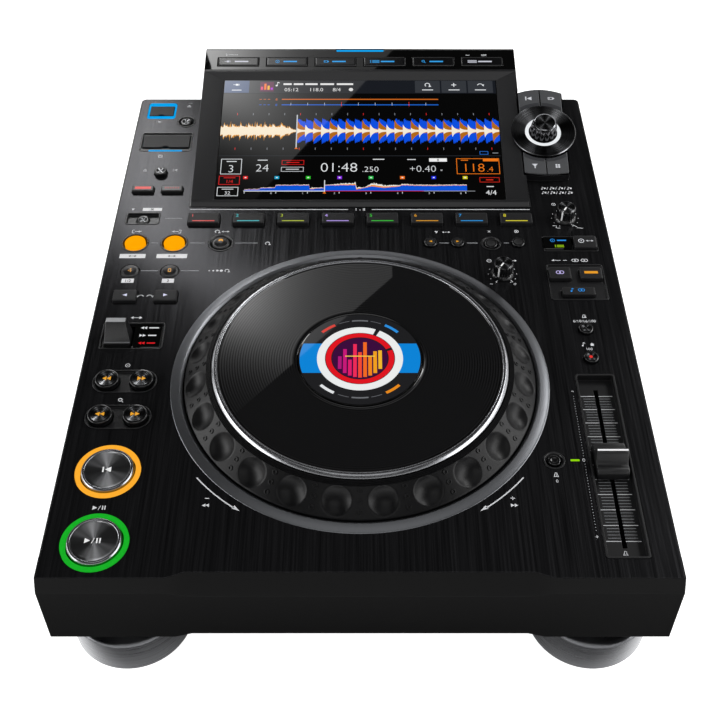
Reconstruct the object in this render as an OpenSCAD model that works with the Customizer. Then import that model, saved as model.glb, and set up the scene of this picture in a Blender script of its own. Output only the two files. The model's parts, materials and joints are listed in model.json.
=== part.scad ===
// Tabletop DJ media player: a low box on four drum feet, with a raised tilted screen,
// a large jog wheel, a tempo fader and columns of buttons on a brushed metal panel.
// Origin: middle of the footprint, on the surface the feet stand on. +Y points to the back.

/* [Body] */
// Width of the case and of the top panel
body_w = 329; // [325:0.5:340]
// Height of the top panel's upper face above the table
panel_z = 87; // [86:0.5:90]
// Thickness of the brushed top panel
panel_t = 2.5; // [2:0.1:3]
// Height of the underside of the case above the table
base_z = 38.3; // [37:0.1:40]
// Thickness of the moulded case walls
wall = 3; // [2:0.25:3.5]
// Front edge of the top panel
panel_front = -220.5; // [-221:0.1:-220]
// Back edge of the top panel
panel_back = 198; // [197:0.5:199]

/* [Front nose] */
// Front of the case at its foot
nose_y = -226.5; // [-228:0.1:-226]
// Height of the nose bevel below the panel, at the sides
bevel_side = 7.3; // [5:0.1:9]
// Height of the nose bevel in the middle stretch
bevel_mid = 10; // [8:0.1:12]
// Half width of the middle stretch
mid_half = 88.8; // [80:0.1:95]
// Length of the blend beside the middle stretch
blend = 9.7; // [5:0.1:15]

/* [Feet] */
// Radius of a drum foot
foot_r = 34; // [28:0.5:36]
// Height of a drum foot with its pad
foot_h = 28; // [24:0.5:32]
// Sideways place of the feet
foot_x = 129.5; // [125:0.5:130]
// Front feet
foot_front = -192; // [-192:1:-185]
// Back feet
foot_back = 158; // [140:1:160]

/* [Jog wheel] */
// Centre of the jog wheel along Y
jog_y = -83.7; // [-84:0.1:-83]
// Outer radius of the silver surround
surround_r = 110.5; // [109:0.5:111]
// Outer radius of the dial
dial_r = 102.5; // [101:0.5:103]
// Radius of the raised plate on the dial
plate_r = 85.5; // [82:0.5:86]
// Rise of the plate above the panel
plate_rise = 15.6; // [14:0.2:17]
// Radius of the fixed display in the middle
label_r = 35.8; // [33:0.2:36]
// Number of finger dimples round the dial
dimples = 24; // [18:1:24]
// Radius of the ball bearing under the dial
bearing_r = 41.95; // [41.9:0.01:41.98]

/* [Screen] */
// Tilt of the screen
tilt = 11.5; // [10:0.5:12]
// Width of the screen housing
screen_w = 229.4; // [226:0.2:229.6]
// Front edge of the screen housing
screen_front = 73.3; // [73:0.1:75]
// Length of the tilted face
screen_len = 145.5; // [144:0.5:146]
// Width of the display window
lcd_w = 199; // [190:1:200]
// Length of the display window up the slope
lcd_len = 112; // [108:1:113]

/* [Browse unit] */
// Centre of the browse unit along X
browse_x = 129.3; // [129.3:0.1:131]
// Width of the browse unit
browse_w = 32.2; // [30:0.2:32.2]
// Front edge of the browse unit
browse_front = 97.4; // [97:0.1:98]
// Length of the browse unit up its slope
browse_len = 78; // [76:0.5:79]
// Tilt of the browse unit
browse_tilt = 14; // [12:0.5:14]
// Radius of the dished ring round the browse knob
dish_r = 22.8; // [21:0.1:22.8]

/* [Buttons] */
// Width of one hot cue key
cue_key_w = 21.2; // [18:0.2:22]
// Spacing of the hot cue keys
cue_pitch = 29.84; // [28:0.02:30]
// Radius of the light ring round the cue and play buttons
ring_r = 18; // [17:0.1:18]
// Gap between a button and the edge of its hole
gap = 0.4; // [0.35:0.05:0.5]

/* [Tempo fader] */
// Centre of the fader along X
fader_x = 137.4; // [136:0.1:138]
// Centre of the fader's travel along Y
fader_y = -145.8; // [-147:0.1:-145]
// Travel of the fader from end to end
fader_travel = 100; // [80:1:100]

/* [Hidden] */
$fn = 96;
panel_u = panel_z - panel_t;            // underside of the panel
rim = 0.7;                              // lip of the case round the panel
rim_z = panel_z - 0.3;                  // top of that lip
half_w = body_w / 2;
floor_t = 2;                            // bottom tray
floor_top = base_z + floor_t;
board_t = 1.6;
key_board_z = 72;                       // switch boards under the keys
switch_h = 3.5;
stem_z = key_board_z + board_t + switch_h + 1.5;
flange_z = 81;
flange_t = 1.2;
left_x = -137.2;                        // centre line of the left column
right_x = 137.4;                        // centre line of the right column
cue_row_y = 56.5;
main_board_z = 50;
post_r = 33;
rear_y = panel_back - 2;                // inner face of the rear panel
screen_z = panel_z + 2;                 // front edge of the tilted face
dish_at = 38.1;                         // dish centre, up the browse slope
shaft_r = 3;                            // browse encoder shaft
screen_key_s = 132.9;                   // screen keys, up the screen slope

// every round button: x, y, radius, height above the panel, bevel
stop_at = [-127.9, 168.4, 4.4, 0.6, 0.5];
time_at = [-139.4, 107.2, 4.4, 3, 0.8];
cue_delete_at = [-145.8, 58.5, 4.2, -0.6, 0.5];
reloop_at = [-91.4, 33.8, 5.8, 1.2, 0.8];
beat4_at = [-147.2, 6.5, 5.8, 1.2, 1];
beat8_at = [-121.8, 6.5, 5.8, 1.2, 1];
track_back_at = [left_x - 10, -87.9, 7, 3, 0.9];
track_next_at = [left_x + 10, -87.9, 7, 3, 0.9];
search_back_at = [left_x - 10, -114.9, 7, 3, 0.9];
search_next_at = [left_x + 10, -114.9, 7, 3, 0.9];
cue_at = [left_x, -153.4, 14.4, 2.2, 0.8];
play_at = [left_x, -199.3, 14.4, 2.2, 0.8];
memory_at = [[46.3, 33.4, 4.2, 1.6, 0.6], [64.1, 33.4, 4.2, 1.6, 0.6],
    [86, 33.4, 4.2, 0.4, 0.6], [103.8, 33.4, 4.2, 1.6, 0.6]];
range_at = [right_x, -46, 4.3, 2, 0.7];
master_tempo_at = [right_x, -69.8, 4.3, 2, 0.7];
reset_at = [106.5, -146.1, 3.5, 0.6, 0.4];
loop_in_at = [-147.6, 33.8, 6.8, 2];
loop_out_at = [-122, 33.8, 6.8, 2];
round_keys = concat([stop_at, time_at, cue_delete_at, reloop_at, beat4_at, beat8_at,
    track_back_at, track_next_at, search_back_at, search_next_at, cue_at, play_at,
    range_at, master_tempo_at, reset_at, loop_in_at, loop_out_at], memory_at);

// every rectangular key: x, y, width, depth, height above the panel
slip_at = [-149.3, 88.2, 14.8, 6, 2.4];
quantize_at = [-129.3, 88.2, 14.8, 6, 2.4];
jump_back_at = [-147, -17.3, 14.6, 10, 2];
jump_forward_at = [-121.5, -17.3, 14.6, 10, 2];
jog_mode_at = [147.4, 32.9, 14.6, 11.4, 2.4];
beat_sync_at = [127.3, 3, 14, 10.4, 2.4];
master_at = [147.1, 3, 14, 10.4, 2.4];
key_sync_at = [137.2, -13.7, 20.4, 6.6, 2.4];
cue_keys_at = [for (i = [0:7]) [(i - 3.5) * cue_pitch, cue_row_y, cue_key_w, 10.4, 2.7]];
rect_keys = concat([slip_at, quantize_at, jump_back_at, jump_forward_at, jog_mode_at,
    beat_sync_at, master_at, key_sync_at], cue_keys_at);

// raised rings and dished trims round some buttons: x, y, outer radius, inner radius
trims = [[stop_at[0], stop_at[1], 6.6, 5], [reloop_at[0], reloop_at[1], 8.3, 6.4],
    [loop_in_at[0], loop_in_at[1], 9, 7.4], [loop_out_at[0], loop_out_at[1], 9, 7.4],
    [86, 33.4, 6.6, 4.8], [reset_at[0], reset_at[1], 6.1, 4.1]];
pills = [[left_x, track_back_at[1]], [left_x, search_back_at[1]]];
pill_w = 38;
pill_d = 17.9;
lever_x = -146;
lever_y = -50.9;
lever_pivot_z = panel_z - 7;
lever_w = 15.6;                         // at the panel
lever_top_w = 11.4;
lever_recess = [-137.8, -50.9, 38.2, 22.4];
delete_recess = [-145.8, 58.5, 22.8, 12.4];
mode_recess = [137.8, 33, 36, 15];
sync_recess = [137.7, -3.5, 36.4, 33];
window_mode = [129.6, 33.6, 19, 11.8];
window_lever = [-128.6, -50.9, 17.4, 20.2];
knobs_at = [[137.6, 58.8], [91, 4]];
knob_h = 10;
knob_r = 6.2;
usb_frame = [-147.4, 182.2, 20.8, 19.4];
usb_door_size = [17.8, 12.6];
usb_door_y = 181.9;
sd_frame = [-139.8, 144, 37, 22.2];
sd_light = [-139.6, 133.7, 24, 1];
reset_led = [118, -145.8, 4.9, 1.3];
sd_door_size = [33.6, 14.8];
sd_door_y = 144.6;
door_t = 1.6;
door_pin_r = 0.9;
inlet_at = [118, 62];
switch_at = [82, 62];
rocker_r = 11.4;
rocker_y = panel_back - 9;
lan_at = [40, 58];
usb_b_at = [14, 57.5];
phono_at = [[-60, 58], [-82, 58], [-104, 58]];
phono_r = 4.15;
phono_len = 8;
phono_collar = 1.5;
track_w = 23.4;
track_len = 127;
track_y = -145.7;
track_floor = panel_z - 4;
screws_at = [for (x = [-158, 158], y = [-212, -70, 70, 186]) [x, y]];

// ---------- shared shapes ----------

// rectangle with true round corners
module rounded(w, d, r) {
    square([w - 2 * r, d], center = true);
    square([w, d - 2 * r], center = true);
    for (x = [-1, 1], y = [-1, 1])
        translate([x * (w / 2 - r), y * (d / 2 - r)]) circle(r, $fn = 32);
}

module slab(at, grow, r, z0, z1) {
    translate([at[0], at[1], z0])
        linear_extrude(z1 - z0) rounded(at[2] + 2 * grow, at[3] + 2 * grow, r);
}

module tube(r_out, r_in, z0, z1) {
    translate([0, 0, z0]) difference() {
        cylinder(r = r_out, h = z1 - z0);
        translate([0, 0, -1]) cylinder(r = r_in, h = z1 - z0 + 2);
    }
}

// round button with a bevelled top, a retaining flange and a stem
module round_key(k) {
    top = panel_z + k[3];
    translate([k[0], k[1], 0]) rotate_extrude($fn = 64)
        polygon([[0, stem_z], [1.6, stem_z], [1.6, flange_z], [k[2] + 0.9, flange_z],
            [k[2] + 0.9, flange_z + flange_t], [k[2], flange_z + flange_t],
            [k[2], top - k[4]], [k[2] - k[4], top], [0, top]]);
}

// round button with a domed top
module dome_key(k) {
    dome_r = 16;
    translate([k[0], k[1], 0]) {
        intersection() {
            translate([0, 0, flange_z]) cylinder(r = k[2], h = 12, $fn = 64);
            translate([0, 0, panel_z + k[3] - dome_r]) sphere(dome_r, $fn = 64);
        }
        translate([0, 0, flange_z]) cylinder(r = k[2] + 0.7, h = flange_t, $fn = 64);
        translate([0, 0, stem_z]) cylinder(r = 1.6, h = flange_z - stem_z + 1, $fn = 32);
    }
}

module rect_key(k) {
    slab(k, 0, 0.9, flange_z, panel_z + k[4]);
    slab(k, 0.8, 1.2, flange_z, flange_z + flange_t);
    translate([k[0], k[1], stem_z]) cylinder(r = 1.6, h = flange_z - stem_z + 1, $fn = 32);
}

// puts children on the tilted screen face: x across, y up the slope, z out of the face
module on_screen() {
    translate([0, screen_front, screen_z]) rotate([tilt, 0, 0]) children();
}

module on_browse() {
    translate([browse_x, browse_front, panel_z + 5.7]) rotate([browse_tilt, 0, 0]) children();
}

module on_slope(at, r, z0, z1) {
    translate([at[0], at[1], z0]) linear_extrude(z1 - z0) rounded(at[2], at[3], r);
}

// ---------- case ----------

module lower_chassis() {
    color("#202123") difference() {
        translate([-half_w + wall, -222, base_z]) cube([body_w - 2 * wall, rear_y + 222, floor_t]);
        for (s = screws_at) translate([s[0], s[1], base_z - 1]) cylinder(r = 1.7, h = 5, $fn = 32);
        for (x = [-60:12:60], y = [90, 130]) translate([x, y, base_z - 1]) slot_hole();
    }
}

module slot_hole() {
    linear_extrude(5) rounded(5, 24, 2.4);
}

// outline of the nose in the YZ plane; b is the bevel height, f the bevel's top edge
module nose_section(b, f, lift) {
    polygon([[-208, base_z], [nose_y + 5.5 * sign(lift), base_z], [nose_y, base_z + lift],
        [nose_y + 1.4, panel_z - b], [f, panel_z], [-208, panel_z]]);
}

// extrudes a YZ outline along X from x0 to x1
module along_x(x0, x1) {
    translate([x0, 0, 0]) rotate([90, 0, 90]) linear_extrude(x1 - x0) children();
}

module nose() {
    thin = 0.02;
    for (m = [0, 1]) mirror([m, 0, 0]) {
        along_x(mid_half + blend, half_w) nose_section(bevel_side, panel_front, 0);
        hull() {
            along_x(mid_half + blend - thin, mid_half + blend)
                nose_section(bevel_side, panel_front, 0);
            along_x(mid_half, mid_half + thin) nose_section(bevel_mid, panel_front + 3.4, 3.6);
        }
    }
    along_x(-mid_half, mid_half) nose_section(bevel_mid, panel_front + 3.4, 3.6);
}

// plan of the top panel, with its shallow step behind the middle of the nose
module panel_plan(grow = 0) {
    r = 3 + grow;
    w = half_w - rim + grow;
    back = panel_back - rim + grow;
    polygon([[-w, panel_front], [-mid_half - blend, panel_front],
        [-mid_half, panel_front + 3.4], [mid_half, panel_front + 3.4],
        [mid_half + blend, panel_front], [w, panel_front],
        [w, back - r], [w - r, back], [-w + r, back], [-w, back - r]]);
    for (x = [-1, 1]) translate([x * (w - r), back - r]) circle(r, $fn = 32);
}

// keeps what lies inside the case's rounded back corners
module inside_case() {
    intersection() {
        children();
        translate([0, 0, base_z]) linear_extrude(panel_z - base_z) panel_plan(rim);
    }
}

module panel_seat() {
    translate([0, 0, panel_u]) linear_extrude(10) panel_plan();
}

module upper_case() {
    color("#1b1c1e") difference() {
        union() {
            nose();
            inside_case() for (m = [0, 1]) mirror([m, 0, 0])
                translate([half_w - wall, -209, base_z]) cube([wall, rear_y + 209, rim_z - base_z]);
        }
        along_x(-half_w + wall, half_w - wall)
            polygon([[-222.5, base_z - 1], [-222, 75], [-214.3, panel_u + 0.1],
                [-200, panel_u + 0.1], [-200, base_z - 1]]);
        translate([-half_w + wall, -223, base_z - 1]) cube([body_w - 2 * wall, 500, floor_t + 1]);
        panel_seat();
    }
    color("#1b1c1e") for (s = screws_at) translate([s[0], s[1], 0]) tube(4, 1.5, floor_top, 60);
}

module panel_cutouts() {
    z0 = panel_u - 1;
    z1 = panel_z + 1;
    for (k = round_keys) translate([k[0], k[1], z0]) cylinder(r = k[2] + gap, h = 5, $fn = 64);
    for (k = rect_keys) slab(k, gap, 1.2, z0, z1);
    for (t = trims) translate([t[0], t[1], z0]) cylinder(r = t[2], h = 5, $fn = 64);
    for (p = pills) slab([p[0], p[1], pill_w, pill_d], 0, pill_d / 2 - 0.01, z0, z1);
    for (r = [cue_at, play_at]) translate([r[0], r[1], z0]) cylinder(r = ring_r, h = 5);
    for (r = [lever_recess, delete_recess, mode_recess, sync_recess, usb_frame, sd_frame])
        slab(r, 0, 2, z0, z1);
    slab([fader_x, track_y, track_w, track_len], 0, 2, z0, z1);
    slab(reset_led, 0, 0.2, z0, z1);
    for (k = knobs_at) translate([k[0], k[1], z0]) cylinder(r = 3.6, h = 5, $fn = 32);
    translate([0, jog_y, z0]) cylinder(r = dial_r + 2.2, h = 5, $fn = 180);
    translate([-104, 76.5, z0]) cube([208, 105, 5]);
    translate([browse_x - 11, browse_front + 6, z0]) cube([22, 60, 5]);
}

module top_panel() {
    color("#141416") difference() {
        translate([0, 0, panel_u]) linear_extrude(panel_t) panel_plan();
        panel_cutouts();
    }
}

module rear_panel() {
    color("#1b1c1e") difference() {
        inside_case() translate([-half_w, rear_y, base_z]) cube([body_w, 2, rim_z - base_z]);
        panel_seat();
        rear_cut(inlet_at, 28, 21);
        rear_cut(switch_at, 14.4, 20.4);
        rear_cut(lan_at, 15.2, 13.2);
        rear_cut(usb_b_at, 13.2, 12.2);
        for (p = phono_at) translate([p[0], rear_y - 1, p[1]])
            rotate([-90, 0, 0]) cylinder(r = 5.2, h = 4, $fn = 48);
        for (x = [-40:6:-10]) translate([x, rear_y - 1, 68]) cube([3, 4, 10]);
    }
}

module rear_cut(at, w, h) {
    translate([at[0] - w / 2, rear_y - 1, at[1] - h / 2]) cube([w, 4, h]);
}

module at_feet() {
    for (x = [-foot_x, foot_x], y = [foot_front, foot_back]) translate([x, y, 0]) children();
}

module foot_drums() {
    color("#9a9c9f") at_feet() rotate_extrude($fn = 120)
        polygon([[foot_r - 3, 1.2], [foot_r, 1.2], [foot_r, foot_h - 1.2],
            [foot_r - 1.2, foot_h], [0, foot_h], [0, foot_h - 3], [foot_r - 3, foot_h - 3]]);
}

module foot_rubbers() {
    color("#101010") at_feet() {
        cylinder(r = foot_r - 3.05, h = 4, $fn = 96);
        translate([0, 0, foot_h]) cylinder(r = 25, h = base_z - foot_h, $fn = 96);
    }
}

module chassis_screws() {
    color("#8a8b8e") for (s = screws_at) translate([s[0], s[1], 0]) {
        translate([0, 0, base_z]) cylinder(r = 1.5, h = 12, $fn = 32);
        translate([0, 0, base_z - 1.8]) difference() {
            cylinder(r = 2.8, h = 1.8, $fn = 32);
            translate([0, 0, -0.2]) cylinder(r = 1.2, h = 1.1, $fn = 6);
        }
    }
}

// ---------- electronics ----------

module board(x0, y0, x1, y1, z) {
    translate([x0, y0, z]) cube([x1 - x0, y1 - y0, board_t]);
}

module circuit_boards() {
    color("#1d4a2c") {
        board(-112, 66, 50, 188, main_board_z);
        difference() {
            board(-110, jog_y - 60, 110, jog_y + 60, main_board_z);
            translate([0, jog_y, main_board_z - 1]) cylinder(r = post_r + 6, h = 5);
        }
        difference() {
            board(-159, -216, -114, 189, key_board_z);
            usb_a_body(key_board_z - 1, 4);
        }
        board(112, -78, 158, 72, key_board_z);
        board(96, -156, 120, -136, key_board_z);
        board(-113, 24, 111, 64, key_board_z);
    }
    color("#c8c8c8") {
        for (k = concat(round_keys, rect_keys)) translate([k[0], k[1], key_board_z + board_t])
            cylinder(r = 2.4, h = switch_h, $fn = 32);
        for (x = [-90, -40, 10], y = [90, 150])
            translate([x, y, main_board_z + board_t]) cube([22, 22, 3]);
        for (k = knobs_at) translate([k[0], k[1], key_board_z + board_t])
            cylinder(r = 5, h = 5, $fn = 48);
    }
}

module power_supply() {
    color("#b9a25a") board(60, 84, 152, 170, main_board_z);
    color("#2b2c2e") {
        translate([70, 94, main_board_z + board_t]) cube([34, 30, 20]);
        for (x = [116, 132]) translate([x, 104, main_board_z + board_t])
            cylinder(r = 7, h = 18, $fn = 48);
        translate([68, 136, main_board_z + board_t]) cube([70, 4, 16]);
    }
}

// socket body behind the rear panel with a rectangular mouth
module rear_socket(at, w, h, mouth_w, mouth_h, depth) {
    difference() {
        translate([at[0] - w / 2, panel_back - depth - 4, at[1] - h / 2]) cube([w, depth + 4.4, h]);
        translate([at[0] - mouth_w / 2, panel_back - depth, at[1] - mouth_h / 2])
            cube([mouth_w, depth + 2, mouth_h]);
    }
}

module mains_inlet() {
    color("#111111") rear_socket(inlet_at, 27.6, 20.6, 24.4, 16.4, 15);
    color("#c9b27a") for (p = [[-7, 1], [7, 1], [0, 5]])
        translate([inlet_at[0] + p[0] - 1, panel_back - 15.5, inlet_at[1] + p[1] - 1])
            cube([2, 13, 2]);
}

module signal_sockets() {
    color("#b8b8ba") {
        rear_socket(lan_at, 14.8, 12.8, 11.8, 8.4, 14);
        rear_socket(usb_b_at, 12.8, 11.8, 8.6, 8, 12);
        translate([usb_b_at[0] - 2.8, panel_back - 12.5, usb_b_at[1] - 1.6]) cube([5.6, 9, 3.2]);
        for (p = phono_at) phono_jack(p);
        usb_a_socket();
        sd_socket();
    }
}

// phono jack: body on the main board, neck through the rear panel, collar and barrel outside
module phono_jack(at) {
    board_top = main_board_z + board_t;
    difference() {
        union() {
            translate([at[0] - 6, rear_y - 14, board_top]) cube([12, 12, 2 * (at[1] - board_top)]);
            translate([at[0], rear_y - 3, at[1]]) rotate([-90, 0, 0])
                cylinder(r = 4.8, h = 5, $fn = 48);
            translate([at[0], panel_back, at[1]]) rotate([-90, 0, 0])
                cylinder(r = 6, h = phono_collar, $fn = 48);
            translate([at[0], panel_back, at[1]]) rotate([-90, 0, 0])
                cylinder(r = phono_r, h = phono_collar + phono_len, $fn = 64);
        }
        translate([at[0], rear_y, at[1]]) rotate([-90, 0, 0]) cylinder(r = 1.7, h = 20, $fn = 32);
    }
}

// upright socket shells under the two flap doors, held by the left switch board
module usb_a_body(z, h) {
    translate([usb_frame[0] - 7.2, usb_door_y - 4.6, z]) cube([14.4, 7.2, h]);
}

module usb_a_socket() {
    difference() {
        usb_a_body(key_board_z - 6, 17);
        translate([usb_frame[0] - 6.2, usb_door_y - 3.6, key_board_z - 4]) cube([12.4, 5.2, 16]);
    }
}

module sd_socket() {
    translate([sd_frame[0], sd_door_y, 0]) difference() {
        translate([-14, -2.4, key_board_z + board_t]) cube([28, 4.8, 9.4]);
        translate([-12.2, -1.2, key_board_z + board_t + 1]) cube([24.4, 2.4, 9]);
    }
}

// ---------- screen ----------

module housing_outline() {
    top_y = screen_front + screen_len * cos(tilt);
    top_z = screen_z + screen_len * sin(tilt);
    polygon([[screen_front - 2.8, panel_z], [screen_front - 2.8, panel_z + 0.5],
        [screen_front, screen_z], [top_y, top_z],
        [top_y + 3.5, top_z - 1.2], [226.5, panel_z + 8], [224.5, panel_z + 2],
        [206, 83], [panel_back + 0.4, 83], [panel_back + 0.4, panel_z]]);
}

module housing_hollow() {
    slope = tan(tilt);
    drop = 5.6;
    polygon([[screen_front + (drop - 2) / slope, panel_z - 0.1],
        [213, screen_z + (213 - screen_front) * slope - drop], [216, panel_z + 24],
        [223.4, panel_z + 8.6], [221.6, panel_z + 4], [206, panel_z - 1],
        [panel_back + 3.5, panel_z - 1], [panel_back + 3.5, panel_z - 0.1]]);
}

module screen_key_row(grow, z0, z1) {
    for (i = [0:5]) on_slope([(i - 2.5) * 36, screen_key_s, 30.2 + grow, 8.8 + grow], 0.8, z0, z1);
}

// thin skirt at the foot of the screen housing; it stops at the browse unit
module housing_skirt() {
    y0 = screen_front - 2.8;
    translate([-screen_w / 2 - 1.3, y0, panel_z]) cube([screen_w / 2, 122, 0.5]);
    translate([0, y0, panel_z]) cube([screen_w / 2 + 1.3, browse_front - 0.5 - y0, 0.5]);
}

module screen_housing() {
    color("#17181a") difference() {
        union() {
            along_x(-screen_w / 2, screen_w / 2) housing_outline();
            housing_skirt();
        }
        translate([browse_x - browse_w / 2 - 0.2, browse_front - 0.5, panel_z - 1])
            cube([10, browse_len, 50]);
        along_x(-screen_w / 2 + 2.6, screen_w / 2 - 2.6) housing_hollow();
        on_screen() {
            hull() {
                translate([0, 63.2, 0.5]) linear_extrude(0.01) square([233.4, 122.8], center = true);
                translate([0, 60, -2.2]) linear_extrude(0.01)
                    square([lcd_w + 0.8, lcd_len + 0.6], center = true);
            }
            translate([-lcd_w / 2 - 0.2, 60 - lcd_len / 2 - 0.2, -8])
                cube([lcd_w + 0.4, lcd_len + 0.4, 7]);
            screen_key_row(0.8, -8, 1);
            translate([-18.2, 143.6, -1.4]) cube([36.4, 4, 3]);
        }
    }
}

module screen_panel() {
    color("#050507") on_screen()
        translate([-lcd_w / 2, 60 - lcd_len / 2, -5.2]) cube([lcd_w, lcd_len, 3]);
}

module screen_keys() {
    color("#0c0c0d") on_screen() {
        screen_key_row(0, -3.2, 0.6);
        for (i = [0:5]) on_slope([(i - 2.5) * 36, screen_key_s, 8, 4], 0.8, -5.2, -3);
    }
}

// ---------- jog wheel ----------

module on_jog() {
    translate([0, jog_y, 0]) children();
}

module jog_ring() {
    color("#a5a7aa") on_jog() rotate_extrude($fn = 240)
        polygon([[dial_r + 0.7, panel_z - 6], [dial_r + 1.9, panel_z - 6], [dial_r + 1.9, panel_z],
            [surround_r, panel_z], [surround_r, panel_z + 0.6], [surround_r - 0.8, panel_z + 1.4],
            [dial_r + 1.9, panel_z + 1.4], [dial_r + 0.7, panel_z + 0.2]]);
}

module jog_post() {
    color("#3a3b3d") on_jog() {
        tube(post_r, post_r - 3, floor_top, panel_z + 8.4);
        tube(post_r + 5, post_r - 3, floor_top, floor_top + 3);
        tube(post_r + 2, post_r - 3, floor_top, panel_z - 3);
    }
}

module jog_bearing() {
    color("#b0b0b2") on_jog() tube(bearing_r, post_r, panel_z - 2.6, panel_z + 6);
}

module jog_display() {
    color("#2a2b2e") on_jog() {
        translate([0, 0, panel_z + 8.4]) cylinder(r = label_r, h = plate_rise - 8.6, $fn = 160);
        translate([0, 0, panel_z + 2]) cylinder(r = post_r - 3.1, h = 7, $fn = 120);
    }
}

module jog_dial() {
    rim = panel_z + plate_rise - 2;
    slope_a = atan2(rim - panel_z - 0.8, dial_r - 87);
    color("#1a1a1c") on_jog() difference() {
        rotate_extrude($fn = 240)
            polygon([[dial_r, panel_z - 2], [dial_r, panel_z + 0.8], [87, rim], [86.1, rim],
                [86.1, rim - 3.4], [45, rim - 3.4], [45, panel_z + 7], [bearing_r + 0.05, panel_z + 7],
                [bearing_r + 0.05, panel_z - 3], [46, panel_z - 3], [46, rim - 6.4],
                [84, rim - 6.4], [98, panel_z - 2]]);
        for (i = [0:dimples - 1]) rotate([0, 0, (i + 0.5) * 360 / dimples])
            translate([94.8, 0, (rim + panel_z + 0.8) / 2]) rotate([0, slope_a, 0])
                translate([0, 0, 12]) sphere(14, $fn = 48);
    }
}

module jog_plate() {
    top = panel_z + plate_rise;
    color("#0b0b0d") on_jog() rotate_extrude($fn = 240)
        polygon([[label_r + 0.5, top - 4], [plate_r, top - 4], [plate_r, top - 1.6],
            [plate_r - 1.6, top], [plate_r - 3, top], [plate_r - 3.6, top - 0.6],
            [label_r + 0.5, top - 0.6]]);
}

// ---------- browse unit ----------

// outline of the browse unit: sides straight, front and back bowed
module browse_plan(inset) {
    w = browse_w - 2 * inset;
    intersection() {
        translate([-w / 2, inset]) square([w, browse_len - 2 * inset]);
        union() {
            translate([0, browse_len - 38]) circle(38 - inset, $fn = 240);
            translate([-w / 2, 0]) square([w, browse_len / 2]);
        }
        translate([0, 86]) circle(86 - inset, $fn = 360);
    }
}

module browse_block() {
    translate([0, 0, -24]) linear_extrude(24) browse_plan(0);
}

// four keys in two pairs; each pair is cut off by the dish between them
module browse_key_set(grow, z0, z1) {
    difference() {
        intersection() {
            for (x = [-1, 1], y = [11, 67])
                on_slope([x * 7.9, y, 15 + grow, 24 + grow], 1, z0, z1);
            translate([0, 0, z0]) linear_extrude(z1 - z0) browse_plan(0.8 - grow / 2);
        }
        translate([0, dish_at, z0 - 1]) cylinder(r = dish_r + 0.9 - grow, h = z1 - z0 + 2, $fn = 120);
    }
}

module browse_bezel() {
    color("#1b1c1e") {
        difference() {
            on_browse() difference() {
                browse_block();
                translate([-12, 4, -30]) cube([24, browse_len - 9, 20]);
                browse_key_set(0.8, -12, 1);
                translate([0, dish_at, -12]) cylinder(r = 6.4, h = 14, $fn = 64);
            }
            translate([browse_x - 40, browse_front - 40, 0]) cube([80, 160, panel_z]);
        }
        on_browse() translate([0, dish_at, 0]) rotate_extrude($fn = 160)
            polygon([[10, -1], [13.4, -1], [13.4, 0.7], [dish_r - 1.6, 0.7], [dish_r, 1.5],
                [dish_r, 2.2], [dish_r - 0.7, 2.6], [12.9, 1.5], [12.7, 0.8], [10, 0.8]]);
    }
}

module browse_shaft() {
    color("#a0a0a2") on_browse() translate([0, dish_at, 0]) {
        translate([0, 0, -7]) cylinder(r = shaft_r, h = 15, $fn = 48);
        translate([0, 0, -9.4]) cylinder(r = 5.4, h = 2.4, $fn = 48);
    }
}

module browse_knob() {
    color("#77787a") on_browse() translate([0, dish_at, 0]) difference() {
        union() {
            translate([0, 0, 1.4]) for (i = [0:13]) rotate([0, 0, i * 360 / 14])
                translate([7.9, 0, 0]) cylinder(r = 1.5, h = 4, $fn = 24);
            translate([0, 0, 1.4]) cylinder(r = 8.4, h = 4.2, $fn = 72);
            translate([0, 0, 5.4]) cylinder(r = 7.7, h = 6.2, $fn = 72);
        }
        translate([0, 0, 1]) cylinder(r = shaft_r + 0.05, h = 7.4, $fn = 48);
    }
}

module browse_keys() {
    color("#54565a") on_browse() {
        browse_key_set(0, -3.4, 1.2);
        for (x = [-1, 1], y = [8, 69]) on_slope([x * 7.9, y, 5, 5], 0.8, -6.4, -3);
    }
}

// ---------- small fixed trim ----------

module light_pipes() {
    color("#ff9c1a") translate([cue_at[0], cue_at[1], 0])
        tube(ring_r - 0.2, cue_at[2] + gap, panel_u + 0.05, panel_z + 1);
    color("#25c43a") translate([play_at[0], play_at[1], 0])
        tube(ring_r - 0.2, play_at[2] + gap, panel_u + 0.05, panel_z + 1);
    color("#ffffff") on_browse() translate([0, dish_at, 0]) tube(12.6, 10.1, 0.8, 1.2);
    color("#2fa9ff") {
        difference() {
            slab(usb_frame, -0.1, 1.9, panel_u - 1, panel_z + 0.4);
            slab([usb_frame[0], usb_door_y, usb_door_size[0], usb_door_size[1]], gap, 1,
                panel_u - 2, panel_z + 1);
        }
        slab(sd_light, 0, 0.2, panel_u - 1, panel_z + 0.2);
        on_screen() translate([-18, 143.7, -1.2]) cube([36, 1.6, 1.2]);
        slab(window_mode, -0.2, 1.2, panel_u - 1, panel_z + 0.2);
        slab(window_lever, -0.2, 1.2, panel_u - 1, panel_z + 0.2);
        slab(reset_led, -0.05, 0.2, panel_u - 1, panel_z + 0.1);
    }
}

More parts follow.
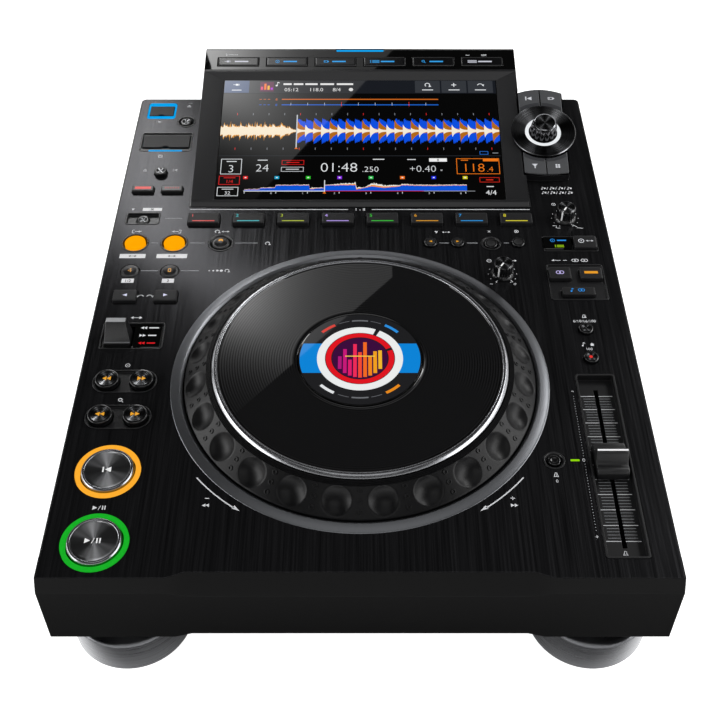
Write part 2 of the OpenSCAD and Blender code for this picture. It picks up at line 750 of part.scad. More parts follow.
// trough that frames keys: outer slab with a floor opening for each key
module key_cell(at, floor_z) {
    difference() {
        slab(at, -0.1, 1.9, floor_z - 1.4, panel_z + 0.3);
        slab(at, -0.9, 1.2, floor_z, panel_z + 1);
        for (k = rect_keys) slab(k, gap, 1.2, floor_z - 3, panel_z + 1);
        for (k = round_keys) translate([k[0], k[1], floor_z - 3])
            cylinder(r = k[2] + gap, h = 8, $fn = 64);
        for (w = [window_mode, window_lever]) slab(w, 0, 1.2, floor_z - 3, panel_z + 1);
        slab([lever_x, lever_y, lever_w + 2, 20.4], 0, 1.2, floor_z - 3, panel_z + 1);
        slab(sd_light, 0.2, 0.2, floor_z - 3, panel_z + 1);
        slab([sd_frame[0], sd_door_y, sd_door_size[0], sd_door_size[1]], gap, 1,
            floor_z - 3, panel_z + 1);
    }
}

module button_trims() {
    color("#232427") {
        for (t = trims) translate([t[0], t[1], 0]) rotate_extrude($fn = 72)
            polygon([[t[3], panel_u - 0.6], [t[2] - 0.1, panel_u - 0.6], [t[2] - 0.1, panel_z + 0.4],
                [t[2] - 0.9, panel_z + 0.4], [t[3] + 0.3, panel_z - 0.8], [t[3], panel_z - 0.8]]);
        for (p = pills) difference() {
            slab([p[0], p[1], pill_w, pill_d], -0.1, pill_d / 2 - 0.12, panel_u - 0.6, panel_z + 0.4);
            slab([p[0], p[1], pill_w, pill_d], -0.9, pill_d / 2 - 1, panel_z - 1, panel_z + 1);
            for (x = [-10, 10]) translate([p[0] + x, p[1], panel_u - 2])
                cylinder(r = 7 + gap, h = 8, $fn = 64);
        }
        key_cell(lever_recess, panel_z - 2.2);
        key_cell(delete_recess, panel_z - 1.8);
        key_cell(mode_recess, panel_z - 0.6);
        key_cell(sync_recess, panel_z - 0.6);
        key_cell(sd_frame, panel_z - 0.6);
    }
}

module fader_track() {
    slot = fader_travel + 9;
    color("#1f2022") {
        difference() {
            slab([fader_x, track_y, track_w, track_len], -0.1, 1.9, track_floor - 1.5, panel_z + 0.4);
            slab([fader_x, track_y, track_w, track_len], -1.3, 1.2, track_floor, panel_z + 1);
            translate([fader_x - 1.2, fader_y - slot / 2, track_floor - 3]) cube([2.4, slot, 5]);
        }
        difference() {
            translate([fader_x - 5.5, fader_y - slot / 2 - 4, 66]) cube([11, slot + 8, track_floor - 67.5]);
            translate([fader_x - 1.6, fader_y - slot / 2, 69]) cube([3.2, slot, 20]);
        }
    }
}

// ---------- moving parts ----------

// flap door hinged along its back edge
module flap(x, y, size) {
    back = y + size[1] / 2;
    difference() {
        union() {
            translate([x - size[0] / 2, y - size[1] / 2, panel_z - door_t + 0.4])
                cube([size[0], size[1] - 0.9, door_t]);
            translate([x - size[0] / 2, back - 0.9, panel_z + 0.4 - door_pin_r])
                rotate([0, 90, 0]) cylinder(r = door_pin_r, h = size[0], $fn = 32);
        }
        translate([x, y - size[1] / 2 - 1.5, panel_z - 3]) cylinder(r = 3.2, h = 5, $fn = 48);
    }
}

module usb_door() {
    color("#26282b") flap(usb_frame[0], usb_door_y, usb_door_size);
}

module sd_door() {
    color("#26282b") flap(sd_frame[0], sd_door_y, sd_door_size);
}

module direction_lever() {
    color("#1c1d1f") translate([lever_x, lever_y, lever_pivot_z]) {
        rotate([0, 90, 0]) translate([0, 0, -lever_w / 2]) cylinder(r = 3.4, h = lever_w, $fn = 48);
        intersection() {
            along_x(-lever_w / 2, lever_w / 2)
                polygon([[-3, -1], [-8, 5.6], [-7.5, 8.3], [-6.6, 8.6], [-1.8, 19.2], [-1, 20],
                    [2.4, 20], [3.2, 19.2], [4.2, 5], [3, -1]]);
            translate([0, 12, 0]) rotate([90, 0, 0]) linear_extrude(24)
                polygon([[-lever_w / 2, -2], [lever_w / 2, -2], [lever_w / 2, 8.4],
                    [lever_top_w / 2, 21], [-lever_top_w / 2, 21], [-lever_w / 2, 8.4]]);
        }
        rotate([0, 90, 0]) translate([0, 0, -lever_w / 2 - 1]) cylinder(r = 1.2, h = lever_w + 2, $fn = 32);
    }
}

module knob(at) {
    color("#2a2a2c") translate([at[0], at[1], 0]) {
        rotate_extrude($fn = 64)
            polygon([[0, panel_z + 0.5], [knob_r + 1.2, panel_z + 0.5], [knob_r + 0.5, panel_z + 3],
                [knob_r, panel_z + knob_h - 0.5], [knob_r - 0.5, panel_z + knob_h],
                [0, panel_z + knob_h]]);
        translate([0, 0, key_board_z + board_t + 5.4])
            cylinder(r = 3, h = panel_z + 1 - key_board_z - board_t - 5.4, $fn = 32);
    }
}

module fader_cap() {
    w = 17.4;
    color("#151618") translate([fader_x, fader_y, 0]) {
        along_x(-w / 2, w / 2)
            polygon([[-11, track_floor + 0.8], [11, track_floor + 0.8], [10.4, panel_z + 2.6],
                [3.4, panel_z + 8], [0.8, panel_z + 9], [-0.8, panel_z + 9],
                [-3.4, panel_z + 8], [-10.4, panel_z + 2.6]]);
        translate([-0.7, -4, 71]) cube([1.4, 8, track_floor - 69]);
    }
}

// rocker: a drum turning behind the rear panel, with a shallow V cut across its face
module power_switch() {
    color("#0e0e0f") translate([switch_at[0], rocker_y, switch_at[1]]) {
        rotate([-6, 0, 0]) along_x(-6.8, 6.8) intersection() {
            circle(rocker_r, $fn = 96);
            polygon([[-8, -4], [6, -11], [11, -11], [9, 0], [11, 11], [6, 11], [-8, 4]]);
        }
        translate([-9, 0, 0]) rotate([0, 90, 0]) cylinder(r = 1.4, h = 18, $fn = 32);
    }
}

lower_chassis();
upper_case();
top_panel();
rear_panel();
foot_drums();
foot_rubbers();
chassis_screws();
circuit_boards();
power_supply();
mains_inlet();
signal_sockets();
screen_housing();
screen_panel();
jog_ring();
jog_post();
jog_bearing();
jog_display();
browse_bezel();
light_pipes();
fader_track();
button_trims();
jog_dial();
jog_plate();
usb_door();
color("#3a3a3c") round_key(stop_at);  // usb_stop_button
sd_door();
color("#8b8c8e") round_key(time_at);  // time_mode_button
color("#b01818") rect_key(slip_at);  // slip_key
color("#5a1414") rect_key(quantize_at);  // quantize_key
browse_shaft();
browse_knob();
browse_keys();
screen_keys();
color("#6b6c6e") round_key(cue_delete_at);  // hot_cue_delete_button
color("#3a3b3e") for (k = cue_keys_at) rect_key(k);  // hot_cue_keys
color("#ff9c1a") dome_key(loop_in_at);  // loop_in_button
color("#ff9c1a") dome_key(loop_out_at);  // loop_out_button
color("#161617") round_key(reloop_at);  // reloop_button
color("#161617") round_key(beat4_at);  // beat_loop_4_button
color("#161617") round_key(beat8_at);  // beat_loop_8_button
color("#3a3b3e") rect_key(jump_back_at);  // beat_jump_back_key
color("#3a3b3e") rect_key(jump_forward_at);  // beat_jump_forward_key
direction_lever();
color("#8b8c8e") round_key(track_back_at);  // track_back_button
color("#8b8c8e") round_key(track_next_at);  // track_next_button
color("#8b8c8e") round_key(search_back_at);  // search_back_button
color("#8b8c8e") round_key(search_next_at);  // search_next_button
color("#8b8c8e") round_key(cue_at);  // cue_button
color("#8b8c8e") round_key(play_at);  // play_button
color("#8b8c8e") for (k = memory_at) round_key(k);  // memory_buttons
knob(knobs_at[0]);  // vinyl_speed_knob
color("#3a3b3e") rect_key(jog_mode_at);  // jog_mode_key
color("#3a3b3e") for (k = [beat_sync_at, master_at]) rect_key(k);  // sync_master_keys
color("#3a3b3e") rect_key(key_sync_at);  // key_sync_key
knob(knobs_at[1]);  // jog_adjust_knob
color("#8b8c8e") round_key(range_at);  // tempo_range_button
color("#8b8c8e") round_key(master_tempo_at);  // master_tempo_button
fader_cap();
color("#161617") round_key(reset_at);  // tempo_reset_button
power_switch();
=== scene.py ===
import json
import math

import bmesh
import bpy
import numpy as np
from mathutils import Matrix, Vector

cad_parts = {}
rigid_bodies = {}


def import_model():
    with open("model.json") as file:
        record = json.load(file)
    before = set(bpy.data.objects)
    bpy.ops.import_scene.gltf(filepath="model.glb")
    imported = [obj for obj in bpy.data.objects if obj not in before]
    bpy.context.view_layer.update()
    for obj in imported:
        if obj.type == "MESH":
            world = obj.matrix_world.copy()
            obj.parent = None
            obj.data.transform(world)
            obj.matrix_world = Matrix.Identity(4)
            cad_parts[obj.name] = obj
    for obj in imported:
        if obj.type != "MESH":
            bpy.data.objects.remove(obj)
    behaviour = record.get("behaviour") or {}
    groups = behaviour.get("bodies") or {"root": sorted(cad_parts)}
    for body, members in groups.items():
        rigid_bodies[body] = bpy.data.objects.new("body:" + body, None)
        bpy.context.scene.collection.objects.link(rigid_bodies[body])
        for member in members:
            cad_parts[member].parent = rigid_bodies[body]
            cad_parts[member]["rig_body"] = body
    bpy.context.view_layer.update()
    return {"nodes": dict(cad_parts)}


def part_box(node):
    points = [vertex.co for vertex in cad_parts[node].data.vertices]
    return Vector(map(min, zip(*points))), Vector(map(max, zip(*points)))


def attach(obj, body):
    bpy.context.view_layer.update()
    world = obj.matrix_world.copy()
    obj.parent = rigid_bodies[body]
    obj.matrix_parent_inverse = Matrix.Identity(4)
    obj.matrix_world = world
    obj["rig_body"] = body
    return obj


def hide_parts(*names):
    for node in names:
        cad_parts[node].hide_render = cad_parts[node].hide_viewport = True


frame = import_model()
scene = bpy.context.scene
mm = 0.001


def linear(code):
    # sRGB hex such as #1a2b3c to linear red, green, blue and 1
    parts = [int(code[i:i + 2], 16) / 255 for i in (1, 3, 5)]
    return [p / 12.92 if p <= 0.04045 else ((p + 0.055) / 1.055) ** 2.4 for p in parts] + [1.0]


def addNode(tree, kind, settings=None, inputs=None):
    # one shader node: settings are its own properties, inputs are values, hex colours or
    # (node, output) links
    node = tree.nodes.new("ShaderNode" + kind)
    for key, value in (settings or {}).items():
        setattr(node, key, value)
    for key, value in (inputs or {}).items():
        if isinstance(value, tuple) and isinstance(value[0], bpy.types.Node):
            tree.links.new(value[0].outputs[value[1]], node.inputs[key])
        elif isinstance(value, str):
            node.inputs[key].default_value = linear(value)
        else:
            node.inputs[key].default_value = value
    return node


def newMaterial(name, sockets):
    # a material with one Principled shader; returns it, its tree, the shader and the coordinates
    material = bpy.data.materials.new(name)
    material.use_nodes = True
    tree = material.node_tree
    tree.nodes.clear()
    shader = addNode(tree, "BsdfPrincipled", inputs=sockets)
    addNode(tree, "OutputMaterial", inputs={"Surface": (shader, 0)})
    return material, tree, shader, addNode(tree, "TexCoord")


def surfaceFinish(name, base, second, roughness, grain, stretch=(1, 1, 1), spread=0.06, relief=0.1,
                  depth=0.03, metallic=0.0, specular=0.5, anisotropic=0.0, coords="Object",
                  tangent=False, paintedFan=None):
    # a noise with a grain in mm mixes the two colours, moves the roughness by spread and raises a
    # bump of depth mm; the UV map's unit is 100 mm. The fan stops, each (share of a half turn,
    # tone), multiply the colour round a turned piece, twice in a turn: a painted highlight, the
    # fans of gleam that turned metal shows, painted into its colour
    sockets = {"Metallic": metallic, "Specular IOR Level": specular, "Anisotropic": anisotropic}
    material, tree, shader, place = newMaterial(name, sockets)
    mapping = addNode(tree, "Mapping", inputs={"Vector": (place, coords), "Scale": stretch})
    scale = (100 if coords == "UV" else 1000) / grain
    noise = addNode(tree, "TexNoise", inputs={"Vector": (mapping, 0), "Scale": scale,
                                              "Detail": 3.0})
    colour = addNode(tree, "Mix", {"data_type": "RGBA"}, {0: (noise, 0), 6: base, 7: second})
    rough = addNode(tree, "MapRange", inputs={0: (noise, 0), 1: 0.25, 2: 0.75,
                                              3: roughness - spread, 4: roughness + spread})
    bump = addNode(tree, "Bump", inputs={"Height": (noise, 0), "Strength": relief,
                                         "Distance": depth * mm})
    # painted highlight: tones round the turn stand in for the fans of gleam
    if paintedFan:
        around = addNode(tree, "SeparateXYZ", inputs={0: (place, "UV")})
        twice = addNode(tree, "Math", {"operation": "MULTIPLY"}, {0: (around, 1), 1: 2.0})
        share = addNode(tree, "Math", {"operation": "FRACT"}, {0: (twice, 0)})
        ramp = addNode(tree, "ValToRGB", inputs={0: (share, 0)})
        ramp.color_ramp.interpolation = "EASE"
        while len(ramp.color_ramp.elements) < len(paintedFan):
            ramp.color_ramp.elements.new(0.5)
        for stop, (where, tone) in zip(ramp.color_ramp.elements, paintedFan):
            stop.position, stop.color = where, (tone, tone, tone, 1)
        colour = addNode(tree, "Mix", {"data_type": "RGBA", "blend_type": "MULTIPLY"},
                         {0: 1.0, 6: (colour, 2), 7: (ramp, 0)})
    tree.links.new(colour.outputs[2], shader.inputs["Base Color"])
    tree.links.new(rough.outputs[0], shader.inputs["Roughness"])
    tree.links.new(bump.outputs[0], shader.inputs["Normal"])
    if tangent:
        along = addNode(tree, "Tangent", {"direction_type": "UV_MAP", "uv_map": "UVMap"})
        tree.links.new(along.outputs[0], shader.inputs["Tangent"])
    return material


def inkFinish(name, roughness, glow, sockets, grain=0.6):
    # printed ink or lit picture: the colour is the piece's own "ink" attribute, a little uneven
    # over a grain in mm
    material, tree, shader, place = newMaterial(name, {"Roughness": roughness, **sockets})
    ink = addNode(tree, "Attribute", {"attribute_name": "ink"})
    noise = addNode(tree, "TexNoise",
                    inputs={"Vector": (place, "Object"), "Scale": 1000 / grain, "Detail": 2.0})
    mottle = addNode(tree, "MapRange", inputs={0: (noise, 0), 3: 0.9, 4: 1.06})
    colour = addNode(tree, "VectorMath", {"operation": "SCALE"},
                     {0: (ink, "Color"), "Scale": (mottle, 0)})
    tree.links.new(colour.outputs[0], shader.inputs["Emission Color" if glow else "Base Color"])
    return material


def lightFinish(name, core, edge, strength=1.0, frosting=1.2, body="#0a0a0a"):
    # frosted acrylic or silicone lit from below: two close tints in a soft cloud of frosting mm
    sockets = {"Base Color": body, "Roughness": 0.4, "Specular IOR Level": 0.0,
               "Emission Strength": strength}
    material, tree, shader, place = newMaterial(name, sockets)
    noise = addNode(tree, "TexNoise",
                    inputs={"Vector": (place, "Object"), "Scale": 1000 / frosting, "Detail": 1.0})
    tint = addNode(tree, "Mix", {"data_type": "RGBA"}, {0: (noise, 0), 6: core, 7: edge})
    tree.links.new(tint.outputs[2], shader.inputs["Emission Color"])
    return material


# solid shapes: each is (points, faces, uv), in mm


def gridShape(points, loop=False):
    # quads between the neighbours of a rows x columns grid of points: the last column joins the
    # first, and the last row the first if loop is set, or else one face closes each end ring;
    # u is the length along the first column in units of 100 mm, v the share of the way round
    rows, columns = points.shape[:2]
    index = np.arange(rows * columns).reshape(rows, columns)
    if loop:
        index = np.vstack([index, index[:1]])
    after = np.roll(index, -1, axis=1)
    flat = points.reshape(-1, 3)
    steps = np.linalg.norm(np.diff(flat[index[:, 0]], axis=0), axis=1)
    u = np.concatenate([[0], np.cumsum(steps)])[:, None] / 100 + np.zeros(columns)
    v = np.arange(columns) / columns + np.zeros((len(index), 1))
    w = v + 1 / columns
    quads = np.stack([index[:-1], after[:-1], after[1:], index[1:]], -1)
    uv = np.stack([u[:-1], v[:-1], u[:-1], w[:-1], u[1:], w[1:], u[1:], v[1:]], -1).reshape(-1, 2)
    faces = quads.reshape(-1, 4).tolist()
    if not loop:
        for ring in (index[0][::-1], index[-1]):
            faces.append(ring.tolist())
            uv = np.vstack([uv, flat[ring][:, :2] / 100])
    return flat, faces, uv


def turned(profile, centre=(0, 0), steps=96, loop=False):
    # a profile of (radius, height) turned round the upright line through centre:
    # x = centre + radius cos a, y = centre + radius sin a, for steps equal angles a
    profile = np.asarray(profile, float)
    angle = np.radians(90 + np.arange(steps) * 360 / steps)
    radius = profile[:, :1]
    height = np.broadcast_to(profile[:, 1:], (len(profile), steps))
    points = np.stack([centre[0] + radius * np.cos(angle), centre[1] + radius * np.sin(angle),
                       height], -1)
    return gridShape(points, loop)


def eased(path, radius, steps=3, loop=False):
    # every corner of the path becomes a parabola that leaves the two sides radius mm before and
    # after the corner, or less than half a side if the side is short
    path = np.asarray(path, float)
    before, after = np.roll(path, 1, axis=0) - path, np.roll(path, -1, axis=0) - path
    reach = [np.minimum(radius / np.maximum(np.linalg.norm(d, axis=1), 1e-6), 0.45)[:, None] * d
             for d in (before, after)]
    t = np.linspace(0, 1, steps + 1)[None, :, None]
    curve = path[:, None] + (1 - t) ** 2 * reach[0][:, None] + t ** 2 * reach[1][:, None]
    if loop:
        return curve.reshape(-1, path.shape[1])
    return np.vstack([path[:1], curve[1:-1].reshape(-1, path.shape[1]), path[-1:]])


def ringShape(path, radius, centre=(0, 0), steps=96, detail=2):
    # a closed profile with eased corners, turned round the upright line through centre
    return turned(eased(path, radius, detail, loop=True), centre, steps, loop=True)


def roundRect(width, depth, radius, steps=5):
    # outline of a rectangle with quarter-circle corners, anticlockwise from the right side
    turn = np.radians(np.linspace(0, 90, steps))
    corner = radius * np.stack([np.cos(turn), np.sin(turn)], -1)
    inner = np.array([width / 2 - radius, depth / 2 - radius])
    parts = []
    for k, side in enumerate([(1, 1), (-1, 1), (-1, -1), (1, -1)]):
        c, s = round(math.cos(k * math.pi / 2)), round(math.sin(k * math.pi / 2))
        parts.append(inner * side + corner @ np.array([[c, s], [-s, c]]))
    return np.vstack(parts)


def keyShape(x, y, width, depth, radius, rows, loop=False):
    # a rounded rectangle carried through (inset, height) rows: each ring is the outline made
    # smaller by inset on every side
    rings = [np.column_stack([roundRect(width - 2 * inset, depth - 2 * inset,
                                        max(radius - inset, 0.2)) + (x, y), np.full(20, height)])
             for inset, height in rows]
    return gridShape(np.array(rings), loop)


def crowned(radius, top, skirt, edge, crown=0.0, steps=8):
    # profile of a round button: wall, edge rounded by edge mm, then a face that rises (or dips)
    # by crown mm to its middle as a parabola
    wall = [(0.05, top - skirt), (radius, top - skirt), (radius, top), (radius - edge * 1.6, top)]
    share = np.linspace(1, 0.01, steps)
    face = np.stack([(radius - edge * 1.7) * share, top + crown * (1 - share ** 2)], -1)
    return np.vstack([eased(wall, edge), face])


# flat shapes: each is (points, faces) in a plane, faces anticlockwise


def strip(first, second):
    # quads between two rows of points; the second row lies to the left of the first
    n = len(first)
    k = np.arange(n - 1)
    return np.vstack([first, second]), np.stack([k, k + 1, k + n + 1, k + n], -1).tolist()


def turnedPoints(points, x, y, turn):
    # flat points turned anticlockwise by turn degrees, then moved to x, y
    c, s = math.cos(math.radians(turn)), math.sin(math.radians(turn))
    return np.asarray(points, float) @ np.array([[c, s], [-s, c]]) + (x, y)


def bar(x, y, width, height, turn=0):
    # a rectangle round x, y
    box = np.array([[-1, -1], [1, -1], [1, 1], [-1, 1]]) * (width / 2, height / 2)
    return turnedPoints(box, x, y, turn), [[0, 1, 2, 3]]


def arrow(x, y, width, height, turn=0):
    # a triangle that points along +x before it is turned
    tip = [[-width / 2, -height / 2], [width / 2, 0], [-width / 2, height / 2]]
    return turnedPoints(tip, x, y, turn), [[0, 1, 2]]


def arc(x, y, inner, outer, start=0, end=360, steps=48):
    # a flat band between two radii, from the start angle to the end angle
    turn = np.radians(np.linspace(start, end, steps + 1))
    ring = np.stack([np.cos(turn), np.sin(turn)], -1)
    return strip(outer * ring + (x, y), inner * ring + (x, y))


def disc(x, y, radius, steps=32):
    # a filled circle
    turn = np.arange(steps) * 2 * math.pi / steps
    points = np.stack([x + radius * np.cos(turn), y + radius * np.sin(turn)], -1)
    return points, [list(range(steps))]


def outline(x0, y0, x1, y1, line):
    # a thin rectangular frame
    outer = np.array([[x0, y0], [x1, y0], [x1, y1], [x0, y1]], float)
    inner = outer + np.array([[1, 1], [-1, 1], [-1, -1], [1, -1]]) * line
    return np.vstack([outer, inner]), [[k, (k + 1) % 4, 4 + (k + 1) % 4, 4 + k] for k in range(4)]


def figures(text, x, y, height, thin=0.0):
    # plain numerals from the built-in font, as flat triangles; x and y are their middle, thin what
    # comes off each side of a stroke as a share of the height
    curve = bpy.data.curves.new("figures", "FONT")
    curve.body, curve.resolution_u = text, 3
    curve.size = height * 1.38        # from the height of a figure to the size of the font
    curve.align_x, curve.offset = "CENTER", -thin * height
    holder = bpy.data.objects.new("figures", curve)
    scene.collection.objects.link(holder)
    graph = bpy.context.evaluated_depsgraph_get()
    mesh = bpy.data.meshes.new_from_object(holder.evaluated_get(graph))
    bpy.data.objects.remove(holder)
    points = np.array([v.co[:2] for v in mesh.vertices]).reshape(-1, 2) + (x, y - height / 2)
    faces = [list(p.vertices)[::1 if mesh.polygons[0].normal.z > 0 else -1] for p in mesh.polygons]
    bpy.data.meshes.remove(mesh)
    return points, faces


icons = {        # pictograms about one unit high, round the origin
    "rewind": [arrow(x, 0, 0.85, 1, 180) for x in (-0.45, 0.45)],
    "forward": [arrow(x, 0, 0.85, 1) for x in (-0.45, 0.45)],
    "trackBack": [bar(-1.05, 0, 0.2, 1), arrow(-0.5, 0, 0.8, 1, 180), arrow(0.35, 0, 0.8, 1, 180)],
    "trackNext": [bar(1.05, 0, 0.2, 1), arrow(-0.35, 0, 0.8, 1), arrow(0.5, 0, 0.8, 1)],
    "toStart": [bar(-0.62, 0, 0.24, 1), arrow(0.1, 0, 0.95, 1, 180)],
    "playPause": [arrow(-1.05, 0, 0.95, 1), bar(-0.15, 0, 0.12, 1.1, -20), bar(0.5, 0, 0.24, 1),
                  bar(1.0, 0, 0.24, 1)],
    "loop": [arc(0, 0, 0.34, 0.5, -40, 230, 24), arrow(0.36, -0.38, 0.5, 0.5, 220)],
    "loopIn": [bar(-0.95, 0, 0.16, 1.1)] + [bar(-0.75, y, 0.5, 0.16) for y in (0.47, -0.47)]
    + [bar(0, 0, 0.9, 0.16), arrow(0.65, 0, 0.6, 0.7)],
    "loopOut": [bar(0.95, 0, 0.16, 1.1)] + [bar(0.75, y, 0.5, 0.16) for y in (0.47, -0.47)]
    + [bar(0, 0, 0.9, 0.16), arrow(-0.65, 0, 0.6, 0.7, 180)],
    "note": [disc(-0.2, -0.35, 0.2, 16), bar(-0.04, 0.05, 0.1, 0.9),
             bar(0.14, 0.38, 0.4, 0.18, -24)],
    "lens": [arc(-0.1, 0.12, 0.26, 0.4, steps=20), bar(0.3, -0.28, 0.5, 0.15, -45)],
    "cross": [bar(0, 0, 1.2, 0.2, 45), bar(0, 0, 1.2, 0.2, -45)],
    "ringDot": [disc(0, 0, 0.2, 16), arc(0, 0, 0.38, 0.52, steps=24)],
    "marker": [arrow(0, 0, 0.9, 1, -90)],
    "jumpBack": [arc(0, -0.25, 0.45, 0.6, 20, 150, 16), arrow(-0.55, -0.15, 0.45, 0.5, 255)],
    "jumpForward": [arc(0, -0.25, 0.45, 0.6, 30, 160, 16), arrow(0.55, -0.15, 0.45, 0.5, -75)],
    "tag": [outline(-0.6, -0.35, 0.4, 0.35, 0.12), arrow(0.6, 0, 0.35, 0.7),
            disc(-0.3, 0, 0.1, 12)],
    "funnel": [arrow(0, 0.2, 0.7, 1.2, -90), bar(0, -0.3, 0.2, 0.5)],
    "grid": [bar(x, y, 0.38, 0.38) for x in (-0.26, 0.26) for y in (-0.26, 0.26)],
    "rings": [arc(x, 0, 0.36, 0.5, steps=24) for x in (-0.32, 0.32)],
    "metronome": [strip(np.array([(-0.5, -0.5), (0.5, -0.5), (0.18, 0.5), (-0.18, 0.5),
                                  (-0.5, -0.5)]),
                        np.array([(-0.32, -0.36), (0.32, -0.36), (0.1, 0.38), (-0.1, 0.38),
                                  (-0.32, -0.36)])),
                  bar(0.16, 0.05, 0.1, 0.75, -22)],
    "lock": [bar(0, -0.2, 0.8, 0.6), arc(0, 0.1, 0.2, 0.34, 0, 180, 12)],
    "plug": [bar(-0.2, 0, 0.6, 0.6), bar(0.3, 0.15, 0.4, 0.12), bar(0.3, -0.15, 0.4, 0.12),
             bar(-0.8, 0, 0.6, 0.14)],
    "card": [outline(-0.42, -0.5, 0.42, 0.5, 0.12), bar(0, 0.22, 0.5, 0.12), bar(0, 0, 0.5, 0.12)],
    "eject": [arrow(0, 0.18, 0.6, 1, 90), bar(0, -0.4, 1, 0.2)],
    "disc": [arc(0, 0, 0.4, 0.52, steps=24), disc(0, 0, 0.12, 12)],
    "arrows": [arrow(-0.9, 0, 0.6, 0.8, 180), arrow(0.9, 0, 0.6, 0.8), bar(0, 0, 1.3, 0.14)],
    "menu": [bar(0, y, 2.4, 0.18) for y in (-0.36, 0, 0.36)],
    "list": [bar(x, y, width, height) for x, width, height in ((0.25, 1.9, 0.16), (-1.1, 0.25, 0.2))
             for y in (-0.36, 0, 0.36)],
    "plus": [bar(0, 0, 0.9, 0.18), bar(0, 0, 0.18, 0.9)],
    "minus": [bar(0, 0, 0.9, 0.18)],
}


def icon(name, x, y, size):
    # one of the symbols above, size mm across, round x, y
    return [(points * size + (x, y), faces) for points, faces in icons[name]]


def painted(shapes, colour, level=0):
    # flat shapes with their ink; each level lies one film above the last
    return [(shape, colour, level) for shape in shapes]


def tiltedPlace(x, y, z, degrees=0):
    # turns local points (across, up the slope, out of the face) into the object's own frame: the
    # last two are turned by the slope's angle about X, then all are moved to x, y, z
    c, s = math.cos(math.radians(degrees)), math.sin(math.radians(degrees))

    def place(p):
        return np.column_stack([x + p[:, 0], y + p[:, 1] * c - p[:, 2] * s,
                                z + p[:, 1] * s + p[:, 2] * c])
    return place


def raised(place, up, out, degrees):
    # a tilted place with its origin moved up the slope and out of the face
    return tiltedPlace(*place(np.array([[0, up, out]]))[0], degrees)


def addObject(name, mesh, finishes, body, stands):
    # links a mesh with its materials, and says what it rides on and what it replaces
    piece = bpy.data.objects.new(name, mesh)
    scene.collection.objects.link(piece)
    for material in finishes if isinstance(finishes, list) else [finishes]:
        mesh.materials.append(material)
    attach(piece, body)
    if stands:
        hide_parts(*stands)
    return piece


def addPiece(name, shapes, finish, body="deck", stands=(), place=None, sharp=35):
    # joins shapes into one mesh piece, smooth except where two faces meet at more than sharp
    # degrees
    faces, first = [], 0
    for p, f, uv in shapes:
        faces += [[i + first for i in face] for face in f]
        first += len(p)
    points = np.vstack([p for p, f, uv in shapes])
    mesh = bpy.data.meshes.new(name)
    mesh.from_pydata(((place(points) if place else points) * mm).tolist(), [], faces)
    layer = mesh.uv_layers.new(name="UVMap")
    layer.data.foreach_set("uv", np.vstack([uv for p, f, uv in shapes]).astype(np.float32).ravel())
    mesh.shade_smooth()
    mesh.set_sharp_from_angle(angle=math.radians(sharp))
    return addObject(name, mesh, finish, body, stands)


def addPrint(name, marks, finish, place, body="deck", film=0.05):
    # marks are (flat shape, colour, level): each is a film mm thick, level films above the face
    points, faces, tints, first = [], [], [], 0
    for (p, f), colour, level in marks:
        points.append(np.column_stack([p, np.full(len(p), 0.01 + level * film * 1.2)]))
        faces += [[i + first for i in face] for face in f]
        tints += [linear(colour)] * sum(len(face) for face in f)
        first += len(p)
    mesh = bpy.data.meshes.new(name)
    mesh.from_pydata((place(np.vstack(points)) * mm).tolist(), [], faces)
    ink = mesh.color_attributes.new("ink", "FLOAT_COLOR", "CORNER")
    ink.data.foreach_set("color", np.array(tints, np.float32).ravel())
    piece = addObject(name, mesh, finish, body, ())
    shell = piece.modifiers.new("film", "SOLIDIFY")
    shell.thickness, shell.offset = film * mm, 1
    return piece


def cadCopy(name, node, finishes, width=0.3, segments=2, angle=30, choose=None, cut=None,
            drop=None, merge=0.004, join=True):
    # a copy of a CAD node, merged, with its edges rounded by width mm; cut is a plane (point,
    # normal) that splits faces, choose gives a face its material and drop leaves faces out, both
    # from the face's middle in mm and its normal
    mesh = frame["nodes"][node].data.copy()
    mesh.materials.clear()
    for spare in [a for a in mesh.attributes if a.name in ("custom_normal", "sharp_face",
                                                           "sharp_edge")]:
        mesh.attributes.remove(spare)
    work = bmesh.new()
    work.from_mesh(mesh)
    bmesh.ops.remove_doubles(work, verts=work.verts, dist=merge * mm)
    if drop:
        gone = [f for f in work.faces if drop(np.array(f.calc_center_median()) / mm,
                                              np.array(f.normal))]
        bmesh.ops.delete(work, geom=gone, context="FACES")
        rims = [e for e in work.edges if e.is_boundary]
        bmesh.ops.bridge_loops(work, edges=rims)
    if cut:
        bmesh.ops.bisect_plane(work, geom=work.verts[:] + work.edges[:] + work.faces[:], dist=1e-7,
                               plane_co=np.array(cut[0]) * mm, plane_no=cut[1])
    if choose:
        for face in work.faces:
            face.material_index = int(choose(np.array(face.calc_center_median()) / mm,
                                             np.array(face.normal)))
    if join:
        bmesh.ops.dissolve_limit(work, angle_limit=math.radians(0.6), verts=work.verts,
                                 edges=work.edges, delimit={"MATERIAL"})
    work.to_mesh(mesh)
    work.free()
    if join:
        mesh.shade_smooth()
    else:
        mesh.shade_flat()
    piece = addObject(name, mesh, finishes, frame["nodes"][node]["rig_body"], (node,))
    edge = piece.modifiers.new("edge", "BEVEL")
    edge.width, edge.segments, edge.limit_method = width * mm, segments, "ANGLE"
    edge.angle_limit, edge.harden_normals, edge.use_clamp_overlap = math.radians(angle), True, False
    return piece


def boxOf(node):
    # lowest and highest corner of a CAD node, in mm
    low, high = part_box(node)
    return np.array(low) / mm, np.array(high) / mm


def roundPlace(node, flange=0.9):
    # middle, cap radius and top of a round button, from its CAD box less its hidden flange
    low, high = boxOf(node)
    return (low[0] + high[0]) / 2, (low[1] + high[1]) / 2, (high[0] - low[0]) / 2 - flange, high[2]


